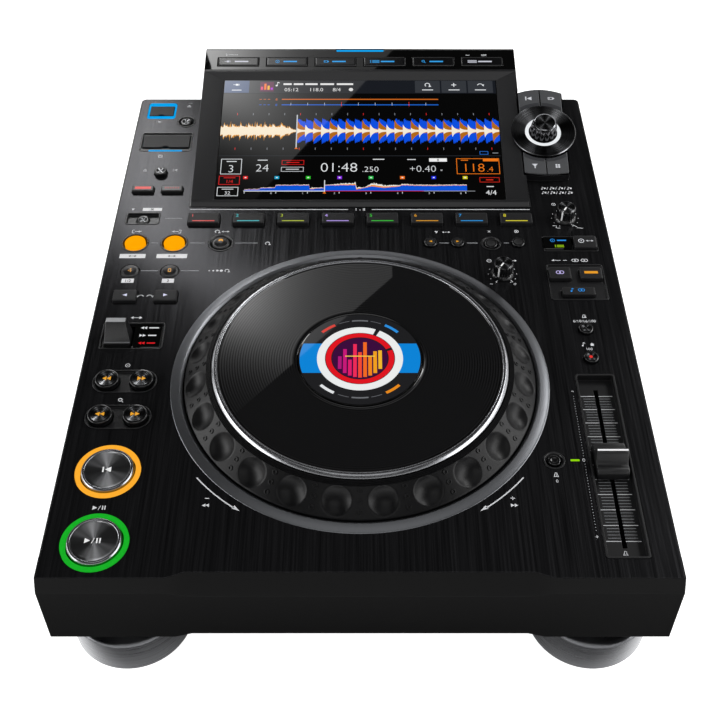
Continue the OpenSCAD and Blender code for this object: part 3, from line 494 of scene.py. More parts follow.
def rectPlace(node, flange=0.8):
    # middle, width, depth and top of a rectangular key, less its flange
    low, high = boxOf(node)
    return (low[0] + high[0]) / 2, (low[1] + high[1]) / 2, *(high - low)[:2] - 2 * flange, high[2]


# places that later pieces are built on
panelZ = boxOf("top_panel")[1][2]
jogY = float(boxOf("jog_dial")[0][1] + boxOf("jog_dial")[1][1]) / 2
screenSlope, browseSlope = 11.5, 14
screenOrigin = (0, boxOf("screen_housing")[0][1] + 2.8, panelZ + 2)        # front edge of its slope
browseOrigin = (129.3, 97.4, panelZ + 5.7)
dishUp = 38.1        # from the front of the browse unit to the middle of its dish
onScreen = tiltedPlace(*screenOrigin, screenSlope)
onBrowse = tiltedPlace(*browseOrigin, browseSlope)
dishPlace = raised(onBrowse, dishUp, 0, browseSlope)
onPanel = tiltedPlace(0, 0, panelZ)

# black anodised aluminium, brushed front to back: fine streaks, a wide soft gleam across them
brushedBlack = surfaceFinish("brushed black anodised aluminium", "#040405", "#38383a", 0.185, 0.85,
                             stretch=(1, 0.012, 1), spread=0.05, relief=0.12, metallic=0.75,
                             specular=0.1, anisotropic=0.75, tangent=True)
# moulded ABS with a fine spark-eroded texture: dull, nearly no gleam
texturedAbs = surfaceFinish("textured black ABS", "#040404", "#090909", 0.6, 0.6, spread=0.05,
                            relief=0.25, depth=0.05, specular=0.1)
# moulded ABS, satin: the screen housing and the browse unit
satinAbs = surfaceFinish("satin black ABS", "#101011", "#151517", 0.32, 0.9, spread=0.03,
                         relief=0.05)
# soft-touch lacquer on the jog dial: dark grey, broad dim highlights
softTouch = surfaceFinish("soft touch lacquer", "#060607", "#0b0b0c", 0.36, 0.7, spread=0.05,
                          relief=0.12, specular=0.16)
# clear cast acrylic over black print: mirror-like and deep black
glossAcrylic = surfaceFinish("gloss black acrylic", "#020202", "#030303", 0.025, 60, spread=0.005,
                             relief=0)
# polished and lacquered aluminium: the bright rim of the jog plate
polishedTrim = surfaceFinish("polished aluminium", "#97989b", "#86878a", 0.24, 3, spread=0.03,
                             relief=0, metallic=1)
# chrome plating: satin on the edges of the cue and play buttons, dark on the flutes of the browse
# knob
chrome = surfaceFinish("chrome plating", "#7c7d80", "#848588", 0.2, 4, spread=0.02, relief=0,
                       metallic=1)
blackChrome = surfaceFinish("black chrome plating", "#3a3a3c", "#424244", 0.13, 4, spread=0.02,
                            relief=0, metallic=1)
# bead-blasted silver anodised aluminium: the jog surround, an even satin grey
satinSilver = surfaceFinish("bead blasted aluminium", "#686a6d", "#737477", 0.34, 0.45, spread=0.04,
                            relief=0.12, depth=0.02, metallic=1)
# metal turned on a lathe: grooves run round, so the gleam opens into fans; the real grooves are
# finer, drawn as coarse as they need to show. The fans are also painted into the colour as light
# and
# dark tones round the turn: painted highlights, which turn with the piece
paintedBrightFan = [(0, 0.5), (0.083, 1), (0.2, 0.5), (0.28, 0.34), (0.36, 0.5), (0.46, 0.14), (0.6, 0.09),
             (0.75, 0.08), (0.9, 0.2), (1, 0.5)]
paintedDarkFan = [(0, 0.03), (0.1, 0.12), (0.194, 1), (0.28, 0.2), (0.38, 0.03), (0.62, 0.03), (0.72, 0.2),
           (0.806, 1), (0.9, 0.12), (1, 0.03)]
spun = {"stretch": (1, 0, 0), "depth": 0.02, "metallic": 1, "anisotropic": 0.8, "coords": "UV",
        "tangent": True}
spunBright = surfaceFinish("spun aluminium", "#cdced1", "#e4e5e8", 0.3, 0.35, spread=0.03,
                           relief=0.02, paintedFan=paintedBrightFan, **spun)
# black chrome: a light base that the dark fan's tones turn mostly black, with painted highlights
spunDark = surfaceFinish("spun black chrome", "#96979a", "#b0b1b4", 0.27, 0.35, spread=0.04,
                         relief=0.05, paintedFan=paintedDarkFan, **spun)
# brushed aluminium drums: streaks run round the foot
drumMetal = surfaceFinish("brushed drum aluminium", "#4d4e50", "#8c8d90", 0.3, 0.9,
                          stretch=(0.03, 0.03, 1), relief=0.08, metallic=1, anisotropic=0.9,
                          tangent=True)
# moulded rubber: matt and dark
rubberBlack = surfaceFinish("moulded rubber", "#0b0b0b", "#121212", 0.7, 0.8, spread=0.05,
                            relief=0.2, depth=0.05, specular=0.3)
# moulded ABS caps: grey ones finely textured and dull, black ones with a soft gleam
keyGrey = surfaceFinish("dark grey key moulding", "#121213", "#171718", 0.42, 0.5, spread=0.05,
                        relief=0.15, specular=0.25)
keyBlack = surfaceFinish("black key moulding", "#0f0f10", "#161617", 0.3, 0.6, spread=0.04,
                         relief=0.08)
browseGrey = surfaceFinish("mid grey key moulding", "#37383a", "#404143", 0.45, 0.5, spread=0.05,
                           relief=0.12, specular=0.4)
leverGrey = surfaceFinish("light grey lever moulding", "#8a8b8d", "#949597", 0.4, 0.6, spread=0.04,
                          relief=0.08)
leverLedge = surfaceFinish("mid grey lever moulding", "#4c4d4f", "#565759", 0.4, 0.6, spread=0.04,
                           relief=0.08)
glossKnob = surfaceFinish("gloss black knob moulding", "#070708", "#0c0c0d", 0.16, 2, spread=0.03,
                          relief=0.03)
capBlack = surfaceFinish("fine textured cap moulding", "#0e0e0f", "#151516", 0.42, 0.4, spread=0.04,
                         specular=0.35)
whiteMark = surfaceFinish("white moulded line", "#d6d6d6", "#e2e2e2", 0.5, 1.0, relief=0.05)
# moulded nylon of the sockets: dull black
blackNylon = surfaceFinish("black nylon", "#0d0d0e", "#141415", 0.45, 0.8, spread=0.05)
# powder coated sheet steel: orange-peel surface
powderCoat = surfaceFinish("powder coated steel", "#101011", "#17171a", 0.5, 1.4, spread=0.05,
                           relief=0.35, depth=0.08, specular=0.4)
# bare metals: mottled zinc on the screws, warm nickel on the sockets, bright ground steel
zincSteel = surfaceFinish("zinc plated steel", "#8c8d90", "#a9aaad", 0.32, 1.1, metallic=1)
nickel = surfaceFinish("nickel plating", "#a8a6a0", "#bcbab4", 0.22, 1.5, spread=0.04, relief=0.05,
                       metallic=1)
bearingSteel = surfaceFinish("ground bearing steel", "#9b9c9f", "#b3b4b6", 0.2, 1.0, spread=0.04,
                             relief=0.05, metallic=1)
# solder mask over copper tracks: green, uneven, half gloss
boardGreen = surfaceFinish("green solder mask", "#123a20", "#1a4f2c", 0.4, 2.5, spread=0.05,
                           relief=0.2, depth=0.05)
# silicone cap lit from inside: nearly even orange
litOrange = lightFinish("lit orange silicone", "#ffae08", "#ffa400", strength=0.85, frosting=6,
                        body="#8a4600")
# frosted acrylic light pipes, each lit by its own lamp
orangeLight = lightFinish("orange light pipe", "#ffa71f", "#ffb63a")
greenLight = lightFinish("green light pipe", "#12ae24", "#1cc62c", strength=0.85)
whiteLight = lightFinish("white light pipe", "#f4f6f8", "#e4e8ec")
blueLight = lightFinish("blue light pipe", "#0098ee", "#00b2f8", frosting=9)
limeLight = lightFinish("lime light pipe", "#9adf08", "#88d000")
# screen-printed ink and the lit pictures behind the displays' glass
panelInk = inkFinish("screen printed ink", 0.5, False, {"Specular IOR Level": 0.3})
lcdPicture = inkFinish("lcd picture", 0.025, True,
                       {"Base Color": "#000000", "Emission Strength": 1.0})
litInk = inkFinish("back-lit legend", 0.35, True,
                   {"Base Color": "#050505", "Emission Strength": 1.0})


def grooveFinish(name, pitch, middle):
    # acrylic with concentric grooves pitch mm apart round middle (real ones are finer, drawn as
    # coarse as they need to show), under a clear coat that mirrors like glass
    material, tree, shader, place = newMaterial(
        name, {"Roughness": 0.36, "Anisotropic": 0.7, "Specular IOR Level": 0.0, "Coat Weight": 1.0,
               "Coat Roughness": 0.02, "Coat IOR": 1.6})
    centred = addNode(tree, "Mapping",
                      inputs={"Vector": (place, "Object"), "Location": (0, -middle * mm, 0)})
    rings = addNode(tree, "TexWave", {"wave_type": "RINGS", "rings_direction": "Z"},
                    {"Vector": (centred, 0), "Scale": math.pi / 10 / (pitch * mm)})
    bump = addNode(tree, "Bump", inputs={"Height": (rings, 1), "Strength": 0.35,
                                         "Distance": 0.03 * mm})
    tint = addNode(tree, "Mix", {"data_type": "RGBA"}, {0: (rings, 1), 6: "#020202", 7: "#1b1b1c"})
    sheen = addNode(tree, "MapRange", inputs={0: (rings, 1), 3: 0.45, 4: 1.0})
    along = addNode(tree, "Tangent", {"direction_type": "UV_MAP", "uv_map": "UVMap"})
    for link, socket in ((tint.outputs[2], "Base Color"), (bump.outputs[0], "Normal"),
                         (sheen.outputs[0], "Coat Weight"), (along.outputs[0], "Tangent")):
        tree.links.new(link, shader.inputs[socket])
    return material


platePattern = grooveFinish("grooved acrylic", 1.5, jogY)
print("finishes made")

# camera: lens in mm on a frame 36 mm wide, place in metres, tilt up from straight down in degrees
view = {"lens": 56.5, "place": (0, -0.5269, 0.5789), "tilt": 42.83}
camera = bpy.data.objects.new("camera", bpy.data.cameras.new("camera"))
scene.collection.objects.link(camera)
camera.data.lens, camera.data.sensor_fit = view["lens"], "HORIZONTAL"
camera.location, camera.rotation_euler = view["place"], (math.radians(view["tilt"]), 0, 0)
camera.data.clip_start, camera.data.clip_end = 0.01, 100
scene.camera = camera

# painted light: what shiny surfaces see of the floor grows from the first to the second place,
# in metres, up to the third number: beside the feet along |x|, there only from the front feet back
# along y, and ahead; nearer the object they see the floor in a darker colour, a painted shade
studio = {"floorColour": "#c4c4c5", "floorFleck": "#c8c8c9", "floorShadeInGloss": "#707071",
          "floorHalf": 30, "floorGlow": 1.0, "floorGleam": 2.1, "gleamBeside": (0.09, 0.15, 1.0),
          "gleamFrom": (-0.24, -0.22, 1.0), "gleamAhead": (-0.33, -0.41, 1.8)}


def flatObject(name, corners, material):
    # one flat face that is staging and no part of the object
    mesh = bpy.data.meshes.new(name)
    mesh.from_pydata(corners, [], [list(range(len(corners)))])
    mesh.materials.append(material)
    piece = bpy.data.objects.new(name, mesh)
    scene.collection.objects.link(piece)
    return piece


# painted studio floor: pale and matt; what the lens sees of it is lifted, and what shiny surfaces
# see of it beyond the feet and in front is lifted too, a painted light; elsewhere shiny surfaces
# see it darker, a painted shade for the shade round the object
floorPaint, tree, shader, place = newMaterial("floor paint",
                                              {"Roughness": 0.9, "Specular IOR Level": 0.0})
mottle = addNode(tree, "TexNoise", inputs={"Vector": (place, "Object"), "Scale": 3.0})
paint = addNode(tree, "Mix", {"data_type": "RGBA"},
                {0: (mottle, 0), 6: studio["floorColour"], 7: studio["floorFleck"]})
path = addNode(tree, "LightPath")
# painted shade: shiny surfaces see the floor in a darker colour than the lens does
paint = addNode(tree, "Mix", {"data_type": "RGBA"},
                {0: (path, "Is Glossy Ray"), 6: (paint, 2), 7: studio["floorShadeInGloss"]})
tree.links.new(paint.outputs[2], shader.inputs["Base Color"])
spot = addNode(tree, "SeparateXYZ", inputs={0: (place, "Object")})
aside = addNode(tree, "Math", {"operation": "ABSOLUTE"}, {0: (spot, 0)})
# painted light: shiny surfaces see the floor lifted beyond the feet and in front
gleams = (((aside, 0), studio["gleamBeside"]), ((spot, 1), studio["gleamFrom"]),
          ((spot, 1), studio["gleamAhead"]))
beside, behind, ahead = [
    addNode(tree, "MapRange", inputs={0: source, 1: start, 2: end, 3: 0.0, 4: most})
    for source, (start, end, most) in gleams]
beside = addNode(tree, "Math", {"operation": "MULTIPLY"}, {0: (beside, 0), 1: (behind, 0)})
most = addNode(tree, "Math", {"operation": "MAXIMUM"}, {0: (beside, 0), 1: (ahead, 0)})
bright = addNode(tree, "Math", {"operation": "MULTIPLY"}, {0: (most, 0), 1: studio["floorGleam"]})
gleam = addNode(tree, "Math", {"operation": "MULTIPLY"},
                {0: (path, "Is Glossy Ray"), 1: (bright, 0)})
glow = addNode(tree, "Math", {"operation": "MULTIPLY_ADD"},
               {0: (path, "Is Camera Ray"), 1: studio["floorGlow"], 2: (gleam, 0)})
shader.inputs["Emission Color"].default_value = (1, 1, 1, 1)
tree.links.new(glow.outputs[0], shader.inputs["Emission Strength"])
wide = studio["floorHalf"]
flatObject("floor", [(-wide, -wide, 0), (wide, -wide, 0), (wide, wide, 0), (-wide, wide, 0)],
           floorPaint)

# the room: white from the floor up, then nearly black; both bounds are sines of the elevation
walls = {"whiteTo": 0.31, "darkFrom": 0.47, "dark": 0.03}
room = bpy.data.worlds.new("room")
scene.world = room
room.use_nodes = True
tree = room.node_tree
tree.nodes.clear()
place = addNode(tree, "TexCoord")
split = addNode(tree, "SeparateXYZ", inputs={0: (place, "Generated")})
level = addNode(tree, "MapRange", {"interpolation_type": "SMOOTHSTEP"},
                {0: (split, 2), 1: walls["whiteTo"], 2: walls["darkFrom"], 3: 1.0,
                 4: walls["dark"]})
light = addNode(tree, "Background", inputs={0: "#ffffff", 1: (level, 0)})
addNode(tree, "OutputWorld", inputs={"Surface": (light, 0)})

lamps = {        # rectangles: middle in metres, turn in degrees, size in metres, radiance
    "overhead": ((0, -0.3, 2.15), (0, 0, 0), (1.6, 1.6), 0.8),
    "left strip": ((-1.3, -0.25, 0.5), (0, -75, 0), (0.5, 1.4), 6.0),
    "right strip": ((1.3, -0.25, 0.6), (0, 72, 0), (0.6, 1.4), 5.0),
    "front": ((0, -0.95, 1.25), (38, 0, 0), (1.0, 0.5), 1.5),
    "back right": ((0.74, 0.38, 0.7), (0, 0, 0), (0.34, 0.5), 12.0)}
for name, (middle, turn, size, radiance) in lamps.items():
    lamp = bpy.data.lights.new(name, "AREA")
    lamp.shape, (lamp.size, lamp.size_y) = "RECTANGLE", size
    lamp.energy = radiance * math.pi * size[0] * size[1]        # watts
    holder = bpy.data.objects.new(name, lamp)
    scene.collection.objects.link(holder)
    holder.location, holder.rotation_euler = middle, (np.array(turn) * math.pi / 180).tolist()

# a sheet of light above and behind the left corner, with a straight slanting edge: it is what the
# glass, the plate and the brushed panel mirror. Two radiances exp(ax + by + c), one that falls to
# the right and never below least, one that falls to the front, and a peak are joined as one over
# the sum of their reciprocals
sheet = {"height": 0.7, "peak": 13.0, "least": 0.55,
         "falls": ((-27.7, 0.0, -2.45), (14.0, 36.0, -15.3)),
         "corners": [(-0.39, 1.2), (-0.39, 0.85), (-0.33, 0.71), (-0.21, 0.63), (-0.2, 0.6),
                     (-0.19, 0.335), (0.045, 0.627), (0.045, 0.67), (-0.23, 0.68), (-0.345, 1.2)]}
sweepLight, tree, shader, place = newMaterial("sweep light",
                                              {"Base Color": "#000000", "Roughness": 1.0})
split = addNode(tree, "SeparateXYZ", inputs={0: (place, "Object")})
fall = []
for x, y, level in sheet["falls"]:
    side = addNode(tree, "Math", {"operation": "MULTIPLY_ADD"}, {0: (split, 0), 1: x, 2: level})
    both = addNode(tree, "Math", {"operation": "MULTIPLY_ADD"}, {0: (split, 1), 1: y, 2: (side, 0)})
    fall.append(addNode(tree, "Math", {"operation": "EXPONENT"}, {0: (both, 0)}))
fall[0] = addNode(tree, "Math", {"operation": "ADD"}, {0: (fall[0], 0), 1: sheet["least"]})
shares = [addNode(tree, "Math", {"operation": "DIVIDE"}, {0: 1.0, 1: (level, 0)}) for level in fall]
total = addNode(tree, "Math", {"operation": "ADD"}, {0: (shares[0], 0), 1: (shares[1], 0)})
total = addNode(tree, "Math", {"operation": "ADD"}, {0: (total, 0), 1: 1 / sheet["peak"]})
joined = addNode(tree, "Math", {"operation": "DIVIDE"}, {0: 1.0, 1: (total, 0)})
shader.inputs["Emission Color"].default_value = (1, 1, 1, 1)
tree.links.new(joined.outputs[0], shader.inputs["Emission Strength"])
sweep = flatObject("sweep", [(x, y, sheet["height"]) for x, y in sheet["corners"]], sweepLight)
sweep.visible_camera = False
scene.view_settings.view_transform = "Standard"
print("camera and lights made")

# case: widths of the rounded edges, in mm
case = {"noseEdge": 0.3, "panelEdge": 0.2, "sheetEdge": 0.2}
panel = cadCopy("brushed_panel", "top_panel", brushedBlack, width=case["panelEdge"])
# u and v are x and y, so that the streaks lie along y
corner = np.zeros(len(panel.data.loops), np.int32)
panel.data.loops.foreach_get("vertex_index", corner)
at = np.array([v.co[:2] for v in panel.data.vertices])
panel.data.uv_layers.new(name="UVMap").data.foreach_set("uv", at[corner].astype(np.float32).ravel())
cadCopy("case_shell", "upper_case", texturedAbs, width=case["noseEdge"], angle=20,
        merge=0.03)
cadCopy("back_plate", "rear_panel", powderCoat, width=case["sheetEdge"])
cadCopy("bottom_tray", "lower_chassis", powderCoat, width=case["sheetEdge"])
cadCopy("tray_screws", "chassis_screws", zincSteel, width=0.25)
for node, finish in {"circuit_boards": boardGreen, "power_supply": boardGreen,
                     "jog_post": powderCoat, "jog_bearing": bearingSteel,
                     "browse_shaft": zincSteel}.items():
    hidden = frame["nodes"][node].data.materials
    hidden.clear()
    hidden.append(finish)
print("case made")

# feet, in mm
foot = {"radius": 34, "height": 28, "wall": 3, "neck": 25}
low, high = boxOf("foot_drums")
footSpots = [(x, y) for x in (low[0] + foot["radius"], high[0] - foot["radius"])
             for y in (low[1] + foot["radius"], high[1] - foot["radius"])]
r, h, wall, neck = foot["radius"], foot["height"], foot["wall"], foot["neck"]
base = float(boxOf("lower_chassis")[0][2])
drum = [(r - wall, 1.2), (r - 0.6, 1.2), (r, 2), (r, h - 2.8), (r - 0.9, h - 1.6),
        (r - 1.5, h - 1.4), (r - wall, h - 1.4), (r - wall - 0.3, h - 2.2), (neck - 1, h - 2.2),
        (neck - 1, h - 4), (r - wall, h - 4)]
addPiece("foot_cups", [ringShape(drum, 0.3, s, 120, 3) for s in footSpots],
         drumMetal, stands=["foot_drums"])
pad = [(0.3, 0)]
for k in (8, 14, 20, 26):        # round grooves under the pad
    pad += [(k, 0), (k + 0.4, 0.6), (k + 1.6, 0.6), (k + 2, 0)]
pad += [(r - 3.1, 0), (r - 3.1, 4), (0.3, 4)]
stem = eased([(0.3, h - 2.2), (neck, h - 2.2), (neck, base), (0.3, base)], 0.4)
addPiece("foot_pads", [turned(p, s, 72) for s in footSpots for p in (pad, stem)], rubberBlack,
         stands=["foot_rubbers"])
print("feet made")

# screen unit: lengths up the slope from its front edge, in mm
screenUnit = {"half": (99.5, 56), "middle": 60, "glassDepth": -2.2, "keyPitch": 36, "keyAt": 132.9,
              "key": (30.2, 8.8, 0.9), "bandFrom": 125.2, "edge": 0.2, "barHalf": 18}
slopeCos, slopeSin = math.cos(math.radians(screenSlope)), math.sin(math.radians(screenSlope))


def glossBand(middle, normal):
    # 1 on the flat face that holds the six keys, which is gloss acrylic, 0 elsewhere
    up = (middle[1] - screenOrigin[1]) * slopeCos + (middle[2] - screenOrigin[2]) * slopeSin
    return normal @ (0, -slopeSin, slopeCos) > 0.995 and up > screenUnit["bandFrom"]


bandFrom = screenUnit["bandFrom"]
cutPoint = (0, screenOrigin[1] + bandFrom * slopeCos, screenOrigin[2] + bandFrom * slopeSin)
cadCopy("screen_shell", "screen_housing", [satinAbs, glossAcrylic],
        width=screenUnit["edge"], choose=glossBand, cut=(cutPoint, (0, slopeCos, slopeSin)),
        angle=12, join=False)
wide, tall = screenUnit["half"]
deep = screenUnit["glassDepth"]
glass = keyShape(0, screenUnit["middle"], 2 * wide, 2 * tall, 1.0,
                 [(0, -5.2), (0, deep - 0.3), (0.25, deep)])
addPiece("display_glass", [glass], glossAcrylic, stands=["screen_panel"], place=onScreen)
keySpots = [((k - 2.5) * screenUnit["keyPitch"], screenUnit["keyAt"]) for k in range(6)]
keyRows = eased([(0, -3.2), (0, 0.6), (1.6, 0.6)], 0.7, 4)
addPiece("top_row_keys", [keyShape(x, y, *screenUnit["key"], keyRows) for x, y in keySpots],
         glossKnob, body="screen_keys", stands=["screen_keys"], place=onScreen)
legendBlue, legendWhite = "#2b9fe8", "#c9cbd6"
rowMarks = []
for (x, y), name, colour in zip(keySpots, ("plug", "disc", "tag", "list", "lens", "menu"),
                                (legendWhite,) + (legendBlue,) * 4 + (legendWhite,)):
    rowMarks += painted(icon(name, x - 7, y - 0.2, 2.8) + [bar(x + 2.4, y - 0.2, 10, 1.3)], colour)
addPrint("top_row_legends", rowMarks, litInk, raised(onScreen, 0, 0.6, screenSlope),
         body="screen_keys")
bandMarks = painted([bar(-94, 140.2, 7, 0.5), disc(-99, 140.2, 0.6, 16), bar(80, 139.8, 3, 0.45)]
                    + icon("menu", 92, 139.8, 1.6), "#c9cbcd")
addPrint("band_marks", bandMarks, panelInk, onScreen)
w = screenUnit["barHalf"]
lightBar = np.array([[(-w + e, 143.7 + 0.02 * e, n), (w - e, 143.7 + 0.02 * e, n),
                      (w - e * 0.4, 145.3, n), (-w + e * 0.4, 145.3, n)]
                     for e, n in ((1.2, -1.2), (1.2, -0.05), (1.3, 0))])
addPiece("top_light_bar", [gridShape(lightBar)], blueLight, place=onScreen)
print("screen unit made")

# display picture: seed of its random strokes, mm from one beat to the next, places across and up
picture = {"seed": 5, "beat": 11.6, "play": -45.0, "left": -99.2, "right": 99.2, "wave": 66.7,
           "overview": (-79.4, 73.5, 11.8)}
rng = np.random.default_rng(picture["seed"])
lcd = []
lcd += painted([bar(0, 109.6, 2 * picture["right"], 13)], "#171a20")
lcd += painted([bar(-90, 109.8, 18, 12)], "#3b4f73", 1)
lcd += painted(icon("plug", -89.4, 111.8, 3) + [bar(-90, 106.4, 7, 0.7)], "#e6e9ee", 2)
lcd += painted([bar(-68, 109.8, 10, 9.6)], "#5a1540", 1)
for k, colour in enumerate(("#e0407a", "#f2711c", "#f6b21c", "#b02ad0")):
    lcd += painted([bar(-71.6 + 2.4 * k, 106.8 + 0.5 * (3, 6, 4, 2)[k], 1.6, (3, 6, 4, 2)[k])],
                   colour, 2)
lcd += painted(icon("note", -60.2, 112.4, 4), "#e8e8e8", 1)
for x, width in ((-53, 6), (-45, 7), (-35.5, 9), (-24, 10), (-11, 12)):      # a title as plain bars
    lcd += painted([bar(x, 112.4, width, 1.7)], "#e8e8e8", 1)
readings = [figures(text, x, 107, 3.4)
            for text, x in (("05:12", -50), ("118.0", -32), ("8/4", -17))]
lcd += painted(readings + [disc(-6.6, 107, 1.6, 20)], "#e0e0e0", 1)
for x, name in ((49.3, "loop"), (68.6, "plus"), (87.9, "jumpForward")):
    lcd += painted([bar(x, 109.8, 18.2, 12)], "#33363b", 1)
    lcd += painted(icon(name, x, 111.6, 4) + [bar(x, 106.6, 8, 0.8)], "#dfe2e6", 2)
for y, colour in ((97.3, "#d2691e"), (91.9, "#1d5fc4")):
    lcd += painted([bar(0, y, 113.4, 0.9)], colour)
    lcd += painted([bar(-72 + 3 * k, y, 1.8, 0.5) for k in range(3)]
                   + [figures("8", -60.5, y, 2.2)], colour)
for k in range(9):
    lcd += painted([bar(-50 + 12.2 * k, 92.6, 0.35, 2.6 + (k % 4 == 3) * 1.6)],
                   "#e03030" if k % 4 == 3 else "#b9c4d6", 1)
for k in range(17):
    red = k % 4 == 0
    for y in (82.8, 50):
        lcd += painted([bar(-88 + 11.3 * k, y, 0.4, 2)], "#e02828" if red else "#8b8f96")


def waveRibbon(x, half, colour, level):
    # the same height above and below the middle line of the track
    middle = picture["wave"]
    return painted([strip(np.stack([x, middle - half], -1), np.stack([x, middle + half], -1))],
                   colour, level)


# played part: cream with orange tips
x = np.arange(picture["left"], picture["play"] - 0.4, 0.3)
beat = ((x - picture["play"]) / picture["beat"] * 2) % 1
cream = 3.0 + 3.4 * np.exp(-5 * beat) + rng.uniform(0, 1.2, len(x))
spikes = cream + np.where(rng.uniform(0, 1, len(x)) > 0.55, rng.uniform(0.4, 3.4, len(x)), 0.3)
spikes = np.where(rng.uniform(0, 1, len(x)) > 0.985, 9.5, spikes)
fade = np.clip((picture["play"] - x) / 9, 0.25, 1)
lcd += waveRibbon(x, spikes * fade, "#e89a1c", 0) + waveRibbon(x, cream * fade, "#f6e7cc", 1)
# coming part: three bands that die away after each beat
x = np.arange(picture["play"] + 0.4, picture["right"], 0.3)
turn = (x - picture["play"]) / picture["beat"]
beat, half = turn % 1, (turn * 2) % 1
blue = np.where(half < 0.12, 7.0, 12.2 - 3.8 * half) + rng.uniform(-0.8, 0.8, len(x))
brown = 1.4 + 9.6 * np.exp(-3.4 * beat) + rng.uniform(-0.3, 0.3, len(x))
cream = 0.7 + 6.0 * np.exp(-6.0 * ((beat + 0.5) % 1)) + 2.2 * np.exp(-7 * beat)
lcd += waveRibbon(x, blue, "#0a4fe0", 0) + waveRibbon(x, brown, "#b46a14", 1)
lcd += waveRibbon(x, cream, "#f7ecd8", 2)
lcd += painted([bar(picture["play"], 66.5, 0.8, 31)], "#c8cdd2", 3)
lcd += painted([arrow(picture["play"], 50.6, 1.7, 2.4, 90)], "#f07818", 3)
lcd += painted([bar(0, 43.4, 198, 0.4)], "#2a2e33")
lcd += painted([outline(84, 44.6, 90, 47.6, 0.35)], "#2a6fd0")
lcd += painted([bar(95, 46, 4, 0.5)], "#9aa0a8")
lcd += painted([outline(-97, 26.6, -82.4, 40.6, 0.45), bar(-89.6, 38.2, 7, 0.7),
                figures("3", -89.7, 31.8, 7, thin=0.02)], "#dcdfe2")
lcd += painted([outline(-97.6, 17.2, -83, 25.2, 0.45), bar(-90.2, 23.4, 8, 0.6),
                figures("1/4", -90.2, 20.2, 3)], "#d02020")
lcd += painted([outline(-98.2, 7.2, -83.6, 15.2, 0.45), bar(-91, 13.3, 8, 0.6),
                figures("32", -91, 10, 3)], "#d8dadd")
lcd += painted([bar(-68, 39.4, 7, 0.7), figures("24", -68, 32.6, 7, thin=0.02)], "#dcdfe2")
lcd += painted([outline(-54.6, 35.2, -39, 39.4, 0.4), bar(-46.8, 37.3, 9, 0.8)], "#d01818")
lcd += painted([outline(-54.9, 29, -39.2, 33.2, 0.4), bar(-47, 31.1, 9, 0.8)], "#c9ccd0")
lcd += painted([figures("01:48", -14.6, 33.1, 8.6, thin=0.02),
                figures(".250", 7.2, 31.3, 5, thin=0.02), bar(13, 40.2, 8, 0.7)], "#e4e6e8")
lcd += painted([bar(36, 40, 6, 0.7), figures("+0.40", 43.6, 31.8, 6, thin=0.02)]
               + icon("cross", 56.6, 30.2, 1.4), "#d8dadd")
lcd += painted([bar(54.5, 39.6, 12.4, 3)], "#f2f2f2")
lcd += painted([figures("8", 54.5, 39.6, 2.2)], "#202020", 1)
lcd += painted([outline(67.2, 26.8, 97.2, 41, 0.45), figures("118", 79, 32.8, 7.8, thin=0.02),
                figures(".4", 90.4, 31.4, 5, thin=0.02), bar(73, 39.4, 5, 0.7),
                bar(91.2, 39.6, 10.6, 2.4)], "#f07818")
lcd += painted([outline(82.6, 19.4, 96.4, 23.8, 0.4), bar(89.5, 21.6, 5, 0.9)], "#d02818")
lcd += painted([bar(89.6, 15.6, 5, 0.7), figures("4/4", 90, 10.4, 4.2)], "#e4e6e8")
trackStep = 21.7        # from one cue point to the next, in mm
cueInk = ("#e02020", "#12a0c8", "#28c428", "#8a28e8", "#28c450", "#f07018", "#1828e0", "#d8d020")
for k, colour in enumerate(cueInk):
    x = -79.2 + trackStep * k
    lcd += painted([bar(x, 23.6, 3.2, 2.6)], colour)
    lcd += painted([bar(x, 23.6, 1.2, 0.9)], "#e8e8e8", 1)
left, right, base = picture["overview"]        # the whole track: ends across and foot of its hills
x = np.linspace(left, right, 420)
places = [-79.4, -69, -68.4, -58.5, -57.8, -35, -34.6, -24.6, -24.2, -3, -2.6, 8, 16, 27.6, 28.4,
          50, 60, 73.5]
levels = np.interp(x, places, [0.9, 1.2, 2.2, 2.4, 4.6, 4.8, 1.2, 2.4, 4.6, 5.0, 0.9, 3.8, 2.6, 3.8,
                               4.8, 4.2, 4.5, 4.6])
crest = np.interp(x, [-79.4, -34.6, -33, -24.6, -3, 3, 9, 18, 27, 73.5],
                  [0.5, 0.9, 1.4, 0.5, 2.4, 0.6, 3.2, 2.4, 1.2, 1.0])
top = base + levels + rng.uniform(-0.2, 0.3, len(x))
peaks = top + crest * rng.uniform(0.6, 1.2, len(x))
hillFoot = np.stack([x, np.full(len(x), base)], -1)
hills = (peaks, "#eeeae2"), (top + 0.45 * crest, "#f0901c"), (top, "#0a55d8")
for level, (hill, colour) in enumerate(hills):
    lcd += painted([strip(hillFoot, np.stack([x, hill], -1))], colour, level)
for x, width, height, colour in ((-52, 56, 0.6, "#e8e8e8"), (10, 68, 0.5, "#c02020"),
                                 (61, 36, 0.4, "#9a9ea4")):
    lcd += painted([bar(x, base - 0.3, width, height)], colour, 3)
lcd += painted([bar(-24.4, 16, 0.6, 10.4)], "#dfe2e6", 4)
lcd += painted([arrow(-24.4, 10.2, 1.6, 2.4, 90)], "#f07818", 4)
for k in range(8):
    lcd += painted([bar(-79.4 + trackStep * k, 10.2, 0.5, 1.5)]
                   + ([figures(str(k), -61 + trackStep * k, 9.8, 1.6)] if k < 7 else []), "#c8ccd0")
addPrint("display_picture", lcd, lcdPicture, raised(onScreen, 0, deep, screenSlope),
         film=0.03)
print("display picture made")

